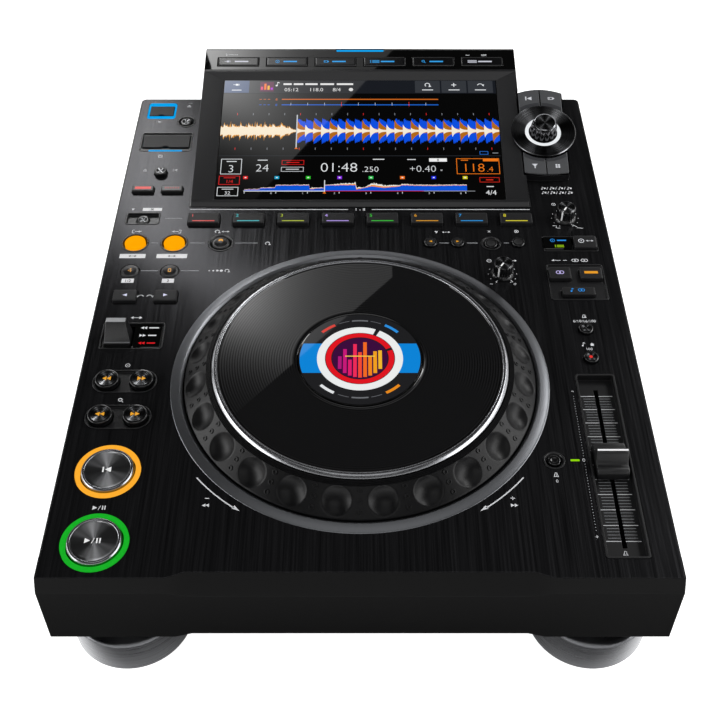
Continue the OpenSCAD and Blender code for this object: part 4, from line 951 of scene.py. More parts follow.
# jog wheel, in mm: the grip slopes from edge to rim, each a (radius, height)
jog = {"outer": 102.5, "edge": (102.2, 88.0), "rim": (88.9, 99.0), "dimples": 24, "ring": 95.2,
       "ball": 13.4, "sink": 10.6, "lip": 0.12, "columns": 40, "plate": 85.5, "plateTop": 102.6,
       "label": 35.8, "studs": (90.4, 94.8, 99.2), "stud": (1.5, 0.75, 0.4)}
(r0, z0), (r1, z1) = jog["edge"], jog["rim"]
length = math.hypot(r1 - r0, z1 - z0)
outward, upward = (z1 - z0) / length, (r0 - r1) / length         # normal of the sloping grip
slope = np.column_stack([np.linspace(r0, r1, 44), np.linspace(z0, z1, 44)])
steps = []
for k in range(4):        # fine stair between the grip and the plate
    r, z = r1 - 0.7 * k, z1 + 0.4 * k
    steps += [(r, z), (r - 0.05, z + 0.4), (r - 0.45, z + 0.45)]
outer = jog["outer"]
profile = np.vstack([[(98, 85), (outer, 85), (outer, 87.5)], slope, steps,
                     [(86.1, 100.6), (86.1, 97.2), (45, 97.2), (45, 94.2), (84, 94.2)]])
turn = np.radians(90 + np.arange(jog["dimples"] * jog["columns"])
                  * 360 / (jog["dimples"] * jog["columns"]))
pitch = 2 * math.pi / jog["dimples"]
# angle from the nearest dimple
off = (turn + math.pi / jog["dimples"] + pitch / 2) % pitch - pitch / 2
radius = profile[:, :1] + 0 * turn
along = np.hypot(profile[:, 0] - r0, profile[:, 1] - z0) - (r0 - jog["ring"]) / upward
onSlope = (np.arange(len(profile)) >= 3) & (np.arange(len(profile)) < 3 + len(slope))
# the dimple is a ball of radius ball sunk so that its middle is sink above the slope; the square
# root blends its lip into the slope
near = jog["ball"] ** 2 - along[:, None] ** 2 - (radius * off) ** 2
cut = np.sqrt(np.maximum(near, 0.01)) - jog["sink"]
depth = np.where(onSlope[:, None], 0.5 * (cut + np.sqrt(cut ** 2 + jog["lip"] ** 2)), 0)
radius = radius - depth * outward
height = profile[:, 1:] - depth * upward
points = np.stack([radius * np.cos(turn), jogY + radius * np.sin(turn), height], -1)
addPiece("jog_grip", [gridShape(points, loop=True)], softTouch, body="jog_dial",
         stands=["jog_dial"], sharp=50)
outer, inner, rise = jog["stud"]
stud = np.array(eased([(inner, -0.2), (outer, -0.2), (outer, rise), (inner, rise)], 0.15, 2,
                      loop=True))
studAngle = np.radians(np.arange(16) * 22.5)
studs = []
for k in range(jog["dimples"]):
    a = k * pitch
    for r in jog["studs"]:        # little raised rings, their axis at right angles to the slope
        z = z0 + (r0 - r) / (r0 - r1) * (z1 - z0)
        alongPart = stud[:, :1] * np.cos(studAngle)
        acrossPart = stud[:, :1] * np.sin(studAngle)
        lift = stud[:, 1:] + 0 * studAngle
        rr = r - alongPart * upward + lift * outward
        x = rr * math.cos(a) + acrossPart * math.sin(a)
        y = rr * math.sin(a) - acrossPart * math.cos(a)
        z = z + alongPart * outward + lift * upward
        studs.append(gridShape(np.stack([x, jogY + y, z], -1), loop=True))
addPiece("jog_studs", studs, softTouch, body="jog_dial")

r, z = jog["plate"], jog["plateTop"]
label = jog["label"]
plate = [(label + 0.5, z - 4), (r - 3.5, z - 4), (r - 3.5, z - 0.55), (r - 3.9, z - 0.6),
         (r - 4.1, z - 0.85), (r - 4.4, z - 0.85), (r - 4.6, z - 0.6),
         *[(q, z - 0.6) for q in np.linspace(r - 5, label + 1, 24)], (label + 0.5, z - 0.9)]
addPiece("jog_top", [turned(plate, (0, jogY), 240, loop=True)], platePattern,
         body="jog_plate", stands=["jog_plate"])
trim = [(r - 3.44, z - 1.9), (r - 0.3, z - 1.9), (r, z - 1.6), (r - 1.5, z - 0.1), (r - 2.4, z),
        (r - 3.1, z), (r - 3.44, z - 0.35)]
side = [(r - 3.44, z - 4), (r - 0.2, z - 4), (r - 0.2, z - 2), (r - 3.44, z - 2)]
addPiece("jog_top_side", [ringShape(side, 0.15, (0, jogY), 240)], keyBlack,
         body="jog_plate")
addPiece("jog_top_trim", [ringShape(trim, 0.25, (0, jogY), 240)], polishedTrim,
         body="jog_plate")

surround = {"outer": 110.5, "inner": 104.4, "skirt": 103.2, "rise": 1.4, "lean": 0.95}
ro, ri, rs = surround["outer"], surround["inner"], surround["skirt"]
share = np.linspace(0, 1, 10)        # the top face leans outward, its inner edge higher
face = np.column_stack([ro - 0.8 - share * (ro - ri - 1.1), panelZ + surround["rise"] - 1.0
                        + surround["lean"] * share + 0.08 * np.sin(math.pi * share)])
ring = np.vstack([[(ri, panelZ), (ro, panelZ), (ro, panelZ + 0.15), (ro - 0.3, panelZ + 0.35)],
                  face, [(ri - 0.1, panelZ + 1.0), (rs, panelZ + 0.1), (rs, panelZ - 6),
                         (ri, panelZ - 6)]])
addPiece("jog_surround", [ringShape(ring, 0.12, (0, jogY), 240)], satinSilver,
         stands=["jog_ring"], sharp=50)

window = eased([(0.3, 89), (29.9, 89), (29.9, 95.4), (label, 95.4), (label, z - 0.2),
                (0.3, z - 0.2)], 0.08)
addPiece("jog_window", [turned(window, (0, jogY), 160)], glossAcrylic,
         stands=["jog_display"])
dial = painted([disc(0, 0, 35.2, 120)], "#1e1e20")
side = np.linspace(-11.5, 11.5, 24)
for sign in (1, -1):        # bands beside the middle, between two circles
    a = np.stack([sign * np.sqrt(34.8 ** 2 - side ** 2), sign * side], -1)
    b = np.stack([sign * np.sqrt(24.4 ** 2 - side ** 2), sign * side], -1)
    dial += painted([strip(a, b)], "#0a84d8", 1)
dial += painted([arc(0, 0, 20.2, 24.8, 68, 422, 96)], "#eceeee", 2)
dial += painted([arc(0, 0, 16.6, 19.8, 25, 379, 90)], "#e01420", 2)
dial += painted([disc(0, 0, 16.0, 72)], "#3c0a3c", 2)
barInk = ("#b01878", "#c81878", "#e01c6c", "#f02a58", "#f44a34", "#f46a20", "#f4861c", "#f4a01c",
          "#f4b82c")
for k, colour in enumerate(barInk):        # a plain equaliser, cut to the round window
    x = -11.6 + 2.9 * k
    reach = math.sqrt(15.2 ** 2 - (abs(x) + 1) ** 2)
    top = reach * (0.15, 0.6, -0.1, 0.75, 0.3, 0.85, 0.1, 0.45, 0.7)[k]
    dial += painted([bar(x, (top - reach) / 2, 2.1, top + reach)], colour, 3)
dial += painted([bar(0, 1.4, 17, 0.7)], "#f4d04c", 4)
for middle, colour in ((128, "#d83020"), (52, "#2b8fe0"), (232, "#e4e6e8"), (308, "#e88a1c")):
    dial += painted([arc(0, 0, 29.4, 31.2, middle - 9, middle + 9, 12)], colour, 1)
for middle in (90, 270):
    dial += painted([arc(0, 0, 29.8, 30.8, middle - 9, middle + 9, 12)], "#6c6e72", 1)
    for shift in (-18, 18):
        dial += painted([arc(0, 0, 30.2, 30.5, middle + shift - 6, middle + shift + 6, 8)],
                        "#6c6e72", 1)
addPrint("jog_picture", dial, lcdPicture, tiltedPlace(0, jogY, z - 0.2), film=0.03)
print("jog wheel made")

# browse unit, in mm
browse = {"dish": 22.8, "flutes": 14, "cap": 7.7, "capTop": 11.6, "keyShade": (23.9, 26.6)}


def inDish(middle, normal):
    # true above the top face of the block, within the dish: those faces are made anew
    x, y, z = middle - browseOrigin
    c, s = math.cos(math.radians(browseSlope)), math.sin(math.radians(browseSlope))
    up, out = y * c + z * s - dishUp, z * c - y * s
    return out > 0.02 and math.hypot(x, up) < browse["dish"] + 1.2


cadCopy("browse_block", "browse_bezel", satinAbs, width=0.6, segments=3, angle=25,
        drop=inDish)
r = browse["dish"]
dish = [(13.4, -0.8), (13.4, 0.7), (r - 1.6, 0.7), (r, 1.5), (r, 2.2), (r - 0.6, 2.55),
        (r - 1.2, 2.45), (12.9, 1.45), (12.7, 0.9), (12.7, -0.8)]
lip = [(r - 0.7, 2.3), (r - 0.2, 1.9), (r - 0.02, 2.2), (r - 0.35, 2.58), (r - 0.6, 2.6)]
glow = [(10.15, 0.3), (12.6, 0.3), (12.6, 1.0), (12.4, 1.2), (10.35, 1.2), (10.15, 1.0)]
sleeve = [(6.6, -0.8), (10.05, -0.8), (10.05, 0.7), (6.6, 0.7)]
for name, ring, radius, steps, detail, finish, slotName in (
        ("dish", dish, 0.2, 120, 3, spunDark, "bezel"),
        ("dish_lip", lip, 0.12, 120, 2, spunDark, "bezel"),
        ("glow", glow, 0.1, 96, 2, whiteLight, "light"),
        ("sleeve", sleeve, 0.2, 72, 2, glossKnob, "bezel")):
    addPiece("browse_" + name, [ringShape(ring, radius, steps=steps, detail=detail)], finish,
             place=dishPlace)
c, t = browse["cap"], browse["capTop"]
cap = np.vstack([[(0.1, 8.6), (7.0, 8.6), (c, 9.1), (c, t - 0.7), (c - 0.2, t - 0.45)],
                 np.column_stack([(c - 0.8) * np.linspace(1, 0.01, 8),
                                  t - 0.2 - 0.2 * np.linspace(0, 1, 8)])])
addPiece("browse_cap", [turned(cap, steps=96)], spunDark, body="browse_knob",
         stands=["browse_knob"], place=dishPlace, sharp=20)
chamfer = [(c - 0.85, t - 0.25), (c - 0.15, t - 0.6), (c - 0.05, t - 0.45), (c - 0.75, t - 0.02)]
addPiece("browse_chamfer", [turned(chamfer, steps=96, loop=True)], chrome,
         body="browse_knob", place=dishPlace)
angle = np.radians(np.arange(192) * 360 / 192)
# flutes: the radius follows the absolute cosine of half the flute count times the angle
lobe = 7.9 + 1.5 * np.abs(np.cos(browse["flutes"] / 2 * angle)) ** 0.6
rows = np.array([(3.05 / 8, 1.5), (0.94, 1.5), (0.99, 1.8), (1.0, 2.3), (0.98, 5.0), (0.93, 8.6),
                 (0.8, 9.3)])
points = np.stack([rows[:, :1] * lobe * np.cos(angle), rows[:, :1] * lobe * np.sin(angle),
                   rows[:, 1:] + 0 * angle], -1)
addPiece("browse_flutes", [gridShape(points)], blackChrome, body="browse_knob",
         place=dishPlace, sharp=60)
cadCopy("browse_key_caps", "browse_keys", browseGrey, width=0.35, segments=3)
keyLegendsAndShade = []
for sign in (1, -1):        # the part of each pair nearest the dish is stepped down; the shade on that step is painted as a darker band
    for x0, x1 in ((-14.6, -0.9), (0.9, 14.6)):
        x = np.linspace(x0, x1, 16)
        a, b = [dishUp + sign * np.sqrt(q ** 2 - x ** 2) for q in browse["keyShade"]][::sign]
        # painted shade: a dark band between two circles round the dish
        keyLegendsAndShade += painted([strip(np.stack([x, a], -1), np.stack([x, b], -1))], "#26272a")
for x, y, name in ((-7.9, 68.8, "toStart"), (7.9, 68.8, "tag"), (-7.9, 7.6, "funnel"),
                   (7.9, 7.6, "grid")):
    keyLegendsAndShade += painted(icon(name, x, y, 3.4), "#c9cbd0")
addPrint("browse_legends_and_shade", keyLegendsAndShade, panelInk, raised(onBrowse, 0, 1.2, browseSlope),
         body="browse_keys")
print("browse unit made")

# round buttons: each one's slot; the domes' slot and finish, then in mm their hidden flange, skirt,
# rounded edge and how far the face rises
small, metal, black = "small_metal_button", "metal_button", "black_button"
buttons = {"time_mode_button": small, "hot_cue_delete_button": small, "track_back_button": metal,
           "track_next_button": metal, "search_back_button": metal, "search_next_button": metal,
           "tempo_range_button": small, "master_tempo_button": small, "usb_stop_button": small,
           "tempo_reset_button": black}
domes = {"reloop_button": (black, keyBlack, 0.9, 5, 0.9, 0.9),
         "beat_loop_4_button": (black, keyBlack, 0.9, 5, 0.9, 0.8),
         "beat_loop_8_button": (black, keyBlack, 0.9, 5, 0.9, 0.8),
         "loop_in_button": ("loop_button", litOrange, 0.7, 4, 0.5, 1.3),
         "loop_out_button": ("loop_button", litOrange, 0.7, 4, 0.5, 1.3)}


def spunDisc(r, top, dip=0.35):
    # the spun inlay of a round button: a thin disc that dips by dip mm to its middle as a parabola
    share = np.linspace(1, 0.01, 8)
    face = np.stack([(r - 1.3) * share, top + 0.03 - dip * (1 - share ** 2)], -1)
    return np.vstack([[(0.05, top - dip - 0.3), (r - 1.3, top - 0.4)], face])


for node, slotName in buttons.items():
    x, y, r, top = roundPlace(node)
    addPiece(node + "_cap", [turned(crowned(r, top, 5, 0.8, -0.35), (x, y), 72)], glossKnob,
             body=node, stands=[node], sharp=50)
    if "reset" not in node:
        addPiece(node + "_disc", [turned(spunDisc(r, top), (x, y), 72)], spunDark,
                 body=node, sharp=50)
for node, (slotName, finish, flange, skirt, edge, crown) in domes.items():
    x, y, r, top = roundPlace(node, flange)
    cap = turned(crowned(r, top - crown, skirt, edge, crown), (x, y), 72)
    addPiece(node + "_cap", [cap], finish, body=node, stands=[node], sharp=50)
memory = {"spots": [(46.3, 33.4, 1.6), (64.1, 33.4, 1.6), (86, 33.4, 0.4), (103.8, 33.4, 1.6)],
          "radius": 4.2}
addPiece("memory_caps", [turned(crowned(memory["radius"], panelZ + h, 5, 0.8, -0.3), (x, y), 72)
                         for x, y, h in memory["spots"]], glossKnob,
         body="memory_buttons", stands=["memory_buttons"], sharp=50)
addPiece("memory_discs", [turned(spunDisc(memory["radius"], panelZ + h, 0.3), (x, y), 72)
                          for x, y, h in memory["spots"]], capBlack,
         body="memory_buttons", sharp=50)
transport = {"ringInner": 15.15, "ringOuter": 17.8, "ringRise": 1.0}
for node, light in (("cue_button", orangeLight), ("play_button", greenLight)):
    x, y, r, top = roundPlace(node)
    edge = [(r - 2.04, top - 5), (r, top - 5), (r, top - 0.9), (r - 0.8, top), (r - 1.6, top),
            (r - 2.04, top - 0.35)]
    addPiece(node + "_edge", [ringShape(edge, 0.25, (x, y), 120, 3)], chrome, body=node)
    face = [(0.1, top - 4), (r - 2.1, top - 4), (r - 2.1, top - 0.45)] \
        + [((r - 2.15) * s, top - 0.4 - 0.25 * (1 - s * s)) for s in np.linspace(1, 0.01, 12)]
    addPiece(node + "_face", [turned(face, (x, y), 120)], spunBright, body=node,
             stands=[node], sharp=50)
    a, b, z = transport["ringInner"], transport["ringOuter"], panelZ + transport["ringRise"]
    ring = [(a, panelZ - 2.4), (b, panelZ - 2.4), (b, z - 0.5), (b - 0.7, z), (a + 0.6, z),
            (a, z - 0.4)]
    addPiece(node + "_light", [ringShape(ring, 0.3, (x, y), 120, 3)], light)
print("round buttons made")

# rectangular keys, in mm
keyEdge = {"radius": 0.9, "skirt": 81.5, "round": 0.7}


def keyCap(x, y, width, depth, top):
    # a key with a flat top and rounded upper edges
    rows = eased([(0, keyEdge["skirt"]), (0, top), (1.8, top)], keyEdge["round"], 4)
    return keyShape(x, y, width, depth, keyEdge["radius"], rows)


for node, finish, slotName in (("slip_key", keyBlack, "lit_key"),
                               ("quantize_key", keyBlack, "lit_key"),
                               ("beat_jump_back_key", keyGrey, "grey_key"),
                               ("beat_jump_forward_key", keyGrey, "grey_key"),
                               ("jog_mode_key", keyGrey, "dark_key"),
                               ("key_sync_key", keyGrey, "dark_key")):
    addPiece(node + "_cap", [keyCap(*rectPlace(node))], finish, body=node, stands=[node])
pads = {"spots": [((k - 3.5) * 29.84, 56.5) for k in range(8)], "size": (21.2, 10.4), "rise": 2.7}
padCaps = [keyCap(x, y, *pads["size"], panelZ + pads["rise"]) for x, y in pads["spots"]]
addPiece("hot_cue_caps", padCaps, keyGrey, body="hot_cue_keys", stands=["hot_cue_keys"])
syncSpots, syncRise = [(127.3, 3), (147.1, 3)], 2.4
addPiece("sync_caps", [keyCap(x, y, 14, 10.4, panelZ + syncRise) for x, y in syncSpots], keyGrey,
         body="sync_master_keys", stands=["sync_master_keys"])
print("keys made")


def topMarks(name, node, colour, shapes, lower=0.0, finish=litInk):
    # marks on top of a key or button, round its middle and lower mm below its highest point
    low, high = boxOf(node)
    x, y = (low[:2] + high[:2]) / 2
    addPrint(name, painted(shapes, colour), finish, tiltedPlace(x, y, high[2] - lower),
             body=node)


orange, capWhite = "#e8a010", "#f0f0f0"
topMarks("slip_legend", "slip_key", "#d82a22", [bar(0, 0.2, 11, 2.6)])
topMarks("quantize_legend", "quantize_key", "#7c1414",
         [bar(-4.4 + 1.76 * k, 0.3, 1.1, 1.7) for k in range(6)])
topMarks("cue_legend", "cue_button", capWhite, icon("toStart", 0, 0, 3.6), 0.62, panelInk)
topMarks("play_legend", "play_button", capWhite, icon("playPause", 0, 0, 3.2), 0.62, panelInk)
for node, name in (("track_back_button", "trackBack"), ("track_next_button", "trackNext"),
                   ("search_back_button", "rewind"), ("search_next_button", "forward")):
    topMarks(node + "_legend", node, orange, icon(name, 0, 0, 3), 0.3)
topMarks("jump_back_legend", "beat_jump_back_key", "#d8d6f0", [arrow(0, 0, 2.8, 2.4, 180)])
topMarks("jump_forward_legend", "beat_jump_forward_key", "#d8d6f0", [arrow(0, 0, 2.8, 2.4)])
for beats in ("4", "8"):
    topMarks("loop_" + beats + "_legend", "beat_loop_" + beats + "_button", orange,
             [figures(beats, 0, 0, 3.6)], 0.08)
topMarks("reloop_legend", "reloop_button", orange, [disc(0, 1.4, 1.5)], 0.14)
topMarks("jog_mode_legend", "jog_mode_key", "#d0d2d6",
         icon("disc", -2.6, 0.4, 3.8) + icon("arrows", 3, 0.4, 2), 0, panelInk)
topMarks("key_sync_legend", "key_sync_key", "#1f8fe8",
         icon("note", -4.2, 0.4, 3) + icon("rings", 1.6, 0.4, 2.6))
topMarks("master_tempo_legend", "master_tempo_button", "#e02018", [disc(-0.4, 0, 1.1, 20)], 0.3)
padInk = ("#e2342c", "#2ab4bc", "#a8b818", "#b094e8", "#2ac02c", "#d89418", "#1a94e0", "#d8cc28")
padMarks = []
for k, ((x, y), colour) in enumerate(zip(pads["spots"], padInk)):
    padMarks += painted([bar(x, y - 3.3, 14.8, 0.75), figures(str(k + 1), x - 7.6, y + 2.3, 3)],
                        colour)
addPrint("hot_cue_legends", padMarks, litInk, tiltedPlace(0, 0, panelZ + pads["rise"]),
         body="hot_cue_keys")
syncMarks = painted(icon("rings", *syncSpots[0], 3.2), "#c4b8f0")
syncMarks += painted([bar(*syncSpots[1], 8.6, 2.2)], "#e89a10")
addPrint("sync_legends", syncMarks, litInk, tiltedPlace(0, 0, panelZ + syncRise),
         body="sync_master_keys")
memoryMarks = painted([arrow(46.3, 34, 2, 1.8, 180), arrow(64.1, 34, 2, 1.8)], orange)
addPrint("memory_legends", memoryMarks, litInk, tiltedPlace(0, 0, panelZ + 1.35),
         body="memory_buttons")
print("legends made")

# trims, doors, lever and fader trough
cadCopy("button_surrounds", "button_trims", satinAbs, width=0.18)
cadCopy("usb_flap", "usb_door", keyGrey, width=0.3)
cadCopy("sd_flap", "sd_door", keyGrey, width=0.3)


def paddleFaces(middle, normal):
    # 1 on the light strip along the top, 2 on the ledge line, 0 elsewhere
    if normal[2] > 0.8 and middle[2] > panelZ + 12:
        return 1
    return 2 * (abs(normal[2]) > 0.5 and middle[1] < -57 and middle[2] < panelZ + 2)


cadCopy("direction_paddle", "direction_lever", [keyBlack, leverGrey, leverLedge],
        width=0.3, choose=paddleFaces)
cadCopy("fader_trough", "fader_track", keyGrey, width=0.25)
windows = {"mode": (129.6, 33.6, 18.6, 11.4, 1.2), "lever": (-128.6, -50.9, 17.0, 19.8, 1.2)}
paneRows = [(0, panelZ - 3.4), (0, panelZ - 0.1), (0.3, panelZ + 0.2)]
addPiece("lit_windows", [keyShape(*pane, paneRows) for pane in windows.values()], glossAcrylic,
         stands=["light_pipes"])
windowMarks = painted(icon("disc", 126.6, 36.2, 3) + [bar(132.6, 36.2, 6, 1.1)], "#2a90e8")
windowMarks += painted(icon("list", 130.6, 30.6, 2.4), "#a8d818")
for name, y, x, width, colour in (("rewind", -44.4, -125.4, 6, "#dfe0e4"),
                                  ("forward", -50.8, -125.8, 5, "#dfe0e4"),
                                  ("rewind", -57.2, -125.8, 5, "#e01c24")):
    windowMarks += painted(icon(name, -131.6, y, 2.2) + [bar(x, y, width, 0.9)], colour)
addPrint("window_legends", windowMarks, lcdPicture, tiltedPlace(0, 0, panelZ + 0.2))
# lights let into the panel, each (x, y, width, depth, corner radius), and the height of their feet
lightFoot = 83.5
ports = {"usb": (-147.4, 182.2, 20.6, 19.2, 1.9), "usbMouth": (-147.4, 181.9, 18.6, 13.4, 1.0),
         "sd": (-139.6, 133.7, 24, 1, 0.2), "reset": (118, -145.8, 4.8, 1.2, 0.2)}
rows = []
for shape, heights in ((ports["usb"], (lightFoot, panelZ + 0.1, panelZ + 0.4)),
                       (ports["usbMouth"], (panelZ + 0.3, panelZ - 0.2, lightFoot))):
    for k, z in enumerate(heights):
        x, y, w, d, r = shape
        inset = 0.3 * (k == 2 and shape is ports["usb"])
        rows.append(np.column_stack([roundRect(w - 2 * inset, d - 2 * inset, r) + (x, y),
                                     np.full(20, z)]))
addPiece("usb_frame_light", [gridShape(np.array(rows), loop=True)], blueLight)
for name, shape, z, light in (("sd_strip_light", ports["sd"], panelZ + 0.1, blueLight),
                              ("reset_lamp", ports["reset"], panelZ, limeLight)):
    addPiece(name, [keyShape(*shape, [(0, lightFoot), (0, z), (0.1, z + 0.1)])], light)

# vinyl speed and jog adjust knobs, in mm and degrees
knob = {"radius": 6.2, "height": 10.0, "flutes": 18, "fluteDepth": 0.5, "pointer": 238}
angle = np.radians(np.arange(144) * 2.5)
flute = 1 - knob["fluteDepth"] / knob["radius"] * (0.5 + 0.5 * np.cos(knob["flutes"] * angle)) ** 2
for node in ("vinyl_speed_knob", "jog_adjust_knob"):
    low, high = boxOf(node)
    x, y = (low[:2] + high[:2]) / 2
    r, top = knob["radius"], panelZ + knob["height"]
    # skirt, then fluted wall: the radius is cut in by a squared cosine of the angle
    rows = np.array([(0.1, panelZ + 0.5, 0), (r + 1.2, panelZ + 0.5, 0), (r + 1.1, panelZ + 1.1, 0),
                     (r + 0.4, panelZ + 2.4, 0), (r, panelZ + 2.6, 1), (r, top - 1.2, 1),
                     (r - 0.2, top - 0.8, 0), (r - 0.5, top - 0.5, 0), (0.1, top - 0.5, 0)])
    radius = rows[:, :1] * (1 + (flute - 1) * rows[:, 2:])
    wall = np.stack([x + radius * np.cos(angle), y + radius * np.sin(angle),
                     rows[:, 1:2] + 0 * angle], -1)
    addPiece(node + "_body", [gridShape(wall)], glossKnob, body=node, stands=[node],
             sharp=40)
    topFace = crowned(r - 0.55, top, 0.6, 0.3, -0.1, 8)
    addPiece(node + "_top", [turned(topFace, (x, y), 72)], spunDark, body=node, sharp=50)
    a = math.radians(knob["pointer"])
    pointer = bar(0.5 * r * math.cos(a), 0.5 * r * math.sin(a), r * 0.84, 0.9, knob["pointer"])
    addPrint(node + "_pointer", painted([pointer], "#f6f6f6"), panelInk,
             tiltedPlace(x, y, top - 0.1), body=node)
    side = keyShape(0, 0, 1.0, knob["height"] - 2.6, 0.3, [(0, 0), (0, 0.25), (0.1, 0.3)])
    across, up, out = side[0].T
    sidePoints = np.column_stack([(r - 0.12 + out) * math.cos(a) - across * math.sin(a) + x,
                                  (r - 0.12 + out) * math.sin(a) + across * math.cos(a) + y,
                                  up + panelZ + knob["height"] / 2 + 0.7])
    addPiece(node + "_line", [(sidePoints, side[1], side[2])], whiteMark, body=node)

# fader cap, in mm: half its width and length, foot and top heights, how far its ends are drawn in,
# and the size of its white line
fader = {"half": 8.7, "halfLength": 11, "foot": 83.8, "top": 96.0, "end": 0.5, "line": (16.8, 1.1)}
# side view of the cap, front to crest: a roll, a concave flank and the crest; the back mirrors it
capHalf, capFoot = fader["halfLength"], fader["foot"]
flank = np.array([(-capHalf, capFoot), (-10.9, 87.4), (-10.5, 88.9), (-9.6, 89.9), (-8.4, 90.3),
                  (-7.0, 90.0), (-5.6, 89.5), (-4.2, 90.2), (-3.0, 92.4), (-2.1, 94.8),
                  (-1.3, 95.8), (0, fader["top"])])
crest = np.vstack([flank, flank[-2::-1] * (-1, 1)])
capX, capY = [float(v) for v in (boxOf("fader_cap")[0][:2] + boxOf("fader_cap")[1][:2]) / 2]
rings = []
# places across the cap, each with its inset
ends = [(fader["half"], fader["end"]), (8.5, 0.15), (8.2, 0)]
for x, inset in [(-x, inset) for x, inset in ends] + ends[::-1]:
    rings.append(np.column_stack([np.full(len(crest), capX + x),
                                  capY + crest[:, 0] * (1 - inset / capHalf),
                                  crest[:, 1] - inset * (crest[:, 1] - capFoot) / 12]))
addPiece("fader_cap_body", [gridShape(np.array(rings)[::-1])], capBlack, body="fader_cap",
         stands=["fader_cap"], sharp=50)
addPrint("fader_line", painted([bar(0, 0, *fader["line"])], "#f0f0f2"), panelInk,
         tiltedPlace(capX, capY, fader["top"]), body="fader_cap")
print("controls made")

# printed marks on the panel: pictograms as (name, x, y, size), in mm
white, dim = "#d6d7da", "#9fa1a4"
marks = painted([bar(-61.5, 68, 107, 0.55), bar(61.5, 68, 107, 0.55),
                 figures("1 - 8", 0, 68.1, 2.8)], white)
panelIcons = [
    ("loopIn", -147.9, 45.3, 3.2), ("loopOut", -121.9, 45.3, 3.2), ("loop", -94.6, 45.3, 3.2),
    ("arrows", -89.2, 45.3, 2.2), ("loop", -60.7, 33.4, 3.2), ("disc", -137.2, -75.3, 2.8),
    ("lens", -137.5, -102.5, 3.2), ("arrows", -137.4, -35.5, 3), ("marker", 50.6, 44.6, 2.4),
    ("arrows", 57, 44.6, 2.2), ("cross", 85.6, 45.4, 2), ("ringDot", 103.8, 45.4, 2.8),
    ("disc", 131.6, 73.4, 2.6), ("rings", 142.6, 73.4, 2.4), ("disc", 83.4, 16.5, 3),
    ("arrows", 98.6, 16.5, 2.2), ("minus", 83.2, -5.3, 2.2), ("plus", 98.1, -5.3, 2.2),
    ("metronome", 137.9, -34.2, 2.8), ("note", 134.4, -58.1, 3), ("lock", 139.6, -58.1, 2.4),
    ("metronome", 106.4, -155.8, 2.8), ("minus", 122.9, -95.6, 1.8), ("plus", 122.9, -195.9, 1.8),
    ("minus", -81.6, -171.5, 2.6), ("plus", 81.4, -171.4, 2.6), ("rewind", -82, -176, 2.2),
    ("forward", 82, -176, 2.2), ("plug", -147.4, 168.6, 3), ("eject", -127.9, 188.6, 3),
    ("card", -142.2, 127.2, 3.4), ("metronome", -151.1, 111, 2.6), ("toStart", -129.8, 111, 2.4),
    ("marker", -153.6, 68.1, 2.2)]
for name, x, y, size in panelIcons:
    marks += painted(icon(name, x, y, size), white)
# thin lines as (left, right, y), then pale boxes as (left, right, y, height, what they hold)
for x0, x1, y in ((-137.1, -132.5, 33.8), (-111.7, -101.8, 33.8), (-82, -67.1, 33.8),
                  (-140.4, -129.4, 7), (-114.8, -103.2, 7), (-130.9, -119.4, 58.7),
                  (52.1, 58.4, 33.8), (70.2, 77.2, 33.8), (94.5, 97.8, 33.8), (-129, -126, 192.4)):
    marks += painted([bar((x0 + x1) / 2, y, x1 - x0, 0.45)], dim)
for x0, x1, y, height, inner in ((-156, -139.2, 21, 4, "arrows"), (-132, -112.2, 21, 4, "arrows"),
                                 (-151.4, -143.6, -2.3, 3.8, "1/2"),
                                 (-125.8, -118.1, -2.3, 3.8, "2"),
                                 (-147, -134.1, 68.1, 3.2, "cross")):
    middle = (x0 + x1) / 2
    marks += painted([bar(middle, y, x1 - x0, height)], "#e4e4e6")
    inside = icon(inner, middle, y, 2.2) if inner in icons else [figures(inner, middle, y, 2.4)]
    marks += painted(inside, "#161616", 1)
for k in range(4):        # beat loop lengths as a row of dots
    marks += painted([disc(-96.6 + 2.6 * k, 7.1, 0.5 + 0.18 * k, 16)], white)
marks += painted(icon("loop", -85.2, 7.1, 3), white)
marks += painted(icon("jumpBack", -137.4, -16.4, 3.6) + icon("jumpForward", -131.8, -16.4, 3.6),
                 white)
marks += painted(icon("playPause", -137.6, -177.6, 2.6), white)
for y in (90.8, 86):        # recorded formats, as notes between slashes
    for k in range(4):
        marks += painted(icon("note", 126 + 6 * k, y, 2.7) + [bar(127.6 + 6 * k, y, 1.2, 1.6)],
                         white)
        if k < 3:
            marks += painted([bar(129.4 + 6 * k, y, 0.3, 2.8, -20)], white)
marks += painted(icon("rings", 139, 16.9, 2.8) + icon("rings", 145, 16.9, 2.8) + [
    bar(127.6, 16.9, 4, 0.4), arrow(124.6, 16.9, 1.6, 1.8, 180), bar(132.4, 16.9, 2.6, 0.4)], white)
for text, x, y, height in (("6/10/16/100", 137.6, -38.4, 2.1), ("0", 122.8, -145.7, 2.4),
                           ("100", 137.3, -61.9, 2.0), ("0", 106.5, -160, 2.0)):
    marks += painted([figures(text, x, y, height)], white)
for x, y in ((137.6, 58.8), (91, 4)):        # dots round the two knobs
    marks += painted([disc(x + 9 * math.cos(a), y + 9 * math.sin(a), 0.32, 12)
                      for a in [math.radians(degrees) for degrees in range(-60, 241, 30)]], white)
marks += painted([bar(87.6, -1.7, 4.7, 0.4, 52), bar(95.9, -2, 4.3, 0.4, -58)], white)
marks += painted([bar(129.4, 51.2, 2.2, 0.4), bar(130.8, 50, 0.4, 2.4), bar(132, 48.8, 2.4, 0.4)],
                 white)
marks += painted([bar(142.8, 51.4, 4.4, 0.4, -38), bar(146.4, 48.9, 4, 0.4, -10)], white)
marks += painted([disc(123, -99.5 - 1.886 * k, 0.26, 10) for k in range(50) if abs(k - 24.5) > 1.4],
                 dim)
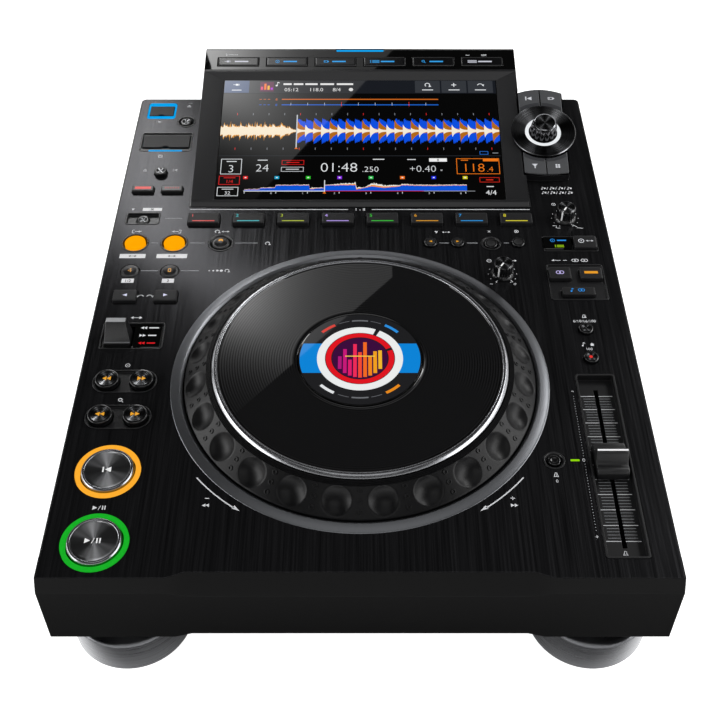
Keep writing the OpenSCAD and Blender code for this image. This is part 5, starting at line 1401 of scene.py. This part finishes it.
# arrows round the jog wheel, between two points of its right one; the left one mirrors it
start, end = (math.degrees(math.atan2(y - jogY, x)) for x, y in ((88.5, -157.7), (66.6, -177.6)))
for sign, first, last in ((1, end, start), (-1, 180 - start, 180 - end)):
    marks += painted([arc(0, jogY, 115, 115.7, first, last, 24)], white)
    marks += painted([arrow(sign * 65.4, -178.4, 4.6, 2.4, -90 - sign * 54)], white)
addPrint("panel_print", marks, panelInk, onPanel)
# scale beside the fader slot, in mm: its middle line, first tick, step and inner end, then the
# outer end, thickness and ink of the two kinds of tick; every fifth one is long
scale = {"x": 137.4, "first": -96.1, "step": 2.0, "count": 51, "inner": 1.1,
         "long": (9.2, 0.45, "#c4c5c8"), "short": (7.8, 0.28, "#85878a")}
ticks, inner = [], scale["inner"]
for k in range(scale["count"]):
    outer, line, ink = scale["short" if k % 5 else "long"]
    for sign in (1, -1):
        ticks += painted([bar(scale["x"] + sign * (outer + inner) / 2,
                              scale["first"] - scale["step"] * k, outer - inner, line)], ink)
ticks += painted(icon("metronome", 137.2, -203.4, 2.6), white)
addPrint("fader_scale", ticks, panelInk, tiltedPlace(0, 0, panelZ - 4))
print("printed marks made")

# back of the case, in mm: the printed face and the face of the jacks along y, heights of the jacks
# and their numbers; middle (x, z) and reach of the mains inlet's pins, and where they start along y
back = {"face": 198, "jackFace": 207.4, "jackUp": 58, "numberUp": 70}
pins = {"middle": (118, 62), "reach": (8.3, 6.4), "from": 183.1}


def pinFaces(middle, normal):
    # 1 on the three pins inside the mouth of the mains inlet
    gaps = zip(middle[::2], pins["middle"], pins["reach"])
    aside = [abs(at - centre) < reach for at, centre, reach in gaps]
    return all(aside) and middle[1] > pins["from"]


cadCopy("mains_socket", "mains_inlet", [blackNylon, nickel], width=0.3, choose=pinFaces)
cadCopy("sockets", "signal_sockets", nickel, width=0.25)
cadCopy("power_rocker", "power_switch", blackNylon, width=0.4, segments=3)
jackSpots = [("1", -60), ("2", -82), ("3", -104)]
jackRing = ringShape([(1.7, 0), (3.4, 0), (3.4, 0.3), (1.7, 0.3)], 0.1, steps=32)
faceBack = np.array([[1, 0, 0], [0, 0, 1], [0, -1, 0]])        # turns a ring's axis from up to back
addPiece("jack_rings", [(jackRing[0] @ faceBack + (x, back["jackFace"], back["jackUp"]),
                         *jackRing[1:]) for number, x in jackSpots], blackNylon)
backMarks = [figures(number, -x, back["numberUp"], 3) for number, x in jackSpots]
backMarks += icon("plug", -118, 77, 3) + [bar(-82, 76, 0.6, 3), arc(-86, 76, 1.1, 1.6, steps=20)]


def onBackFace(p):
    # seen from behind, text runs towards -X
    return np.column_stack([-p[:, 0], back["face"] + p[:, 2], p[:, 1]])


addPrint("back_print", painted(backMarks, white), panelInk, onBackFace)
print("back made")

bpy.context.view_layer.update()
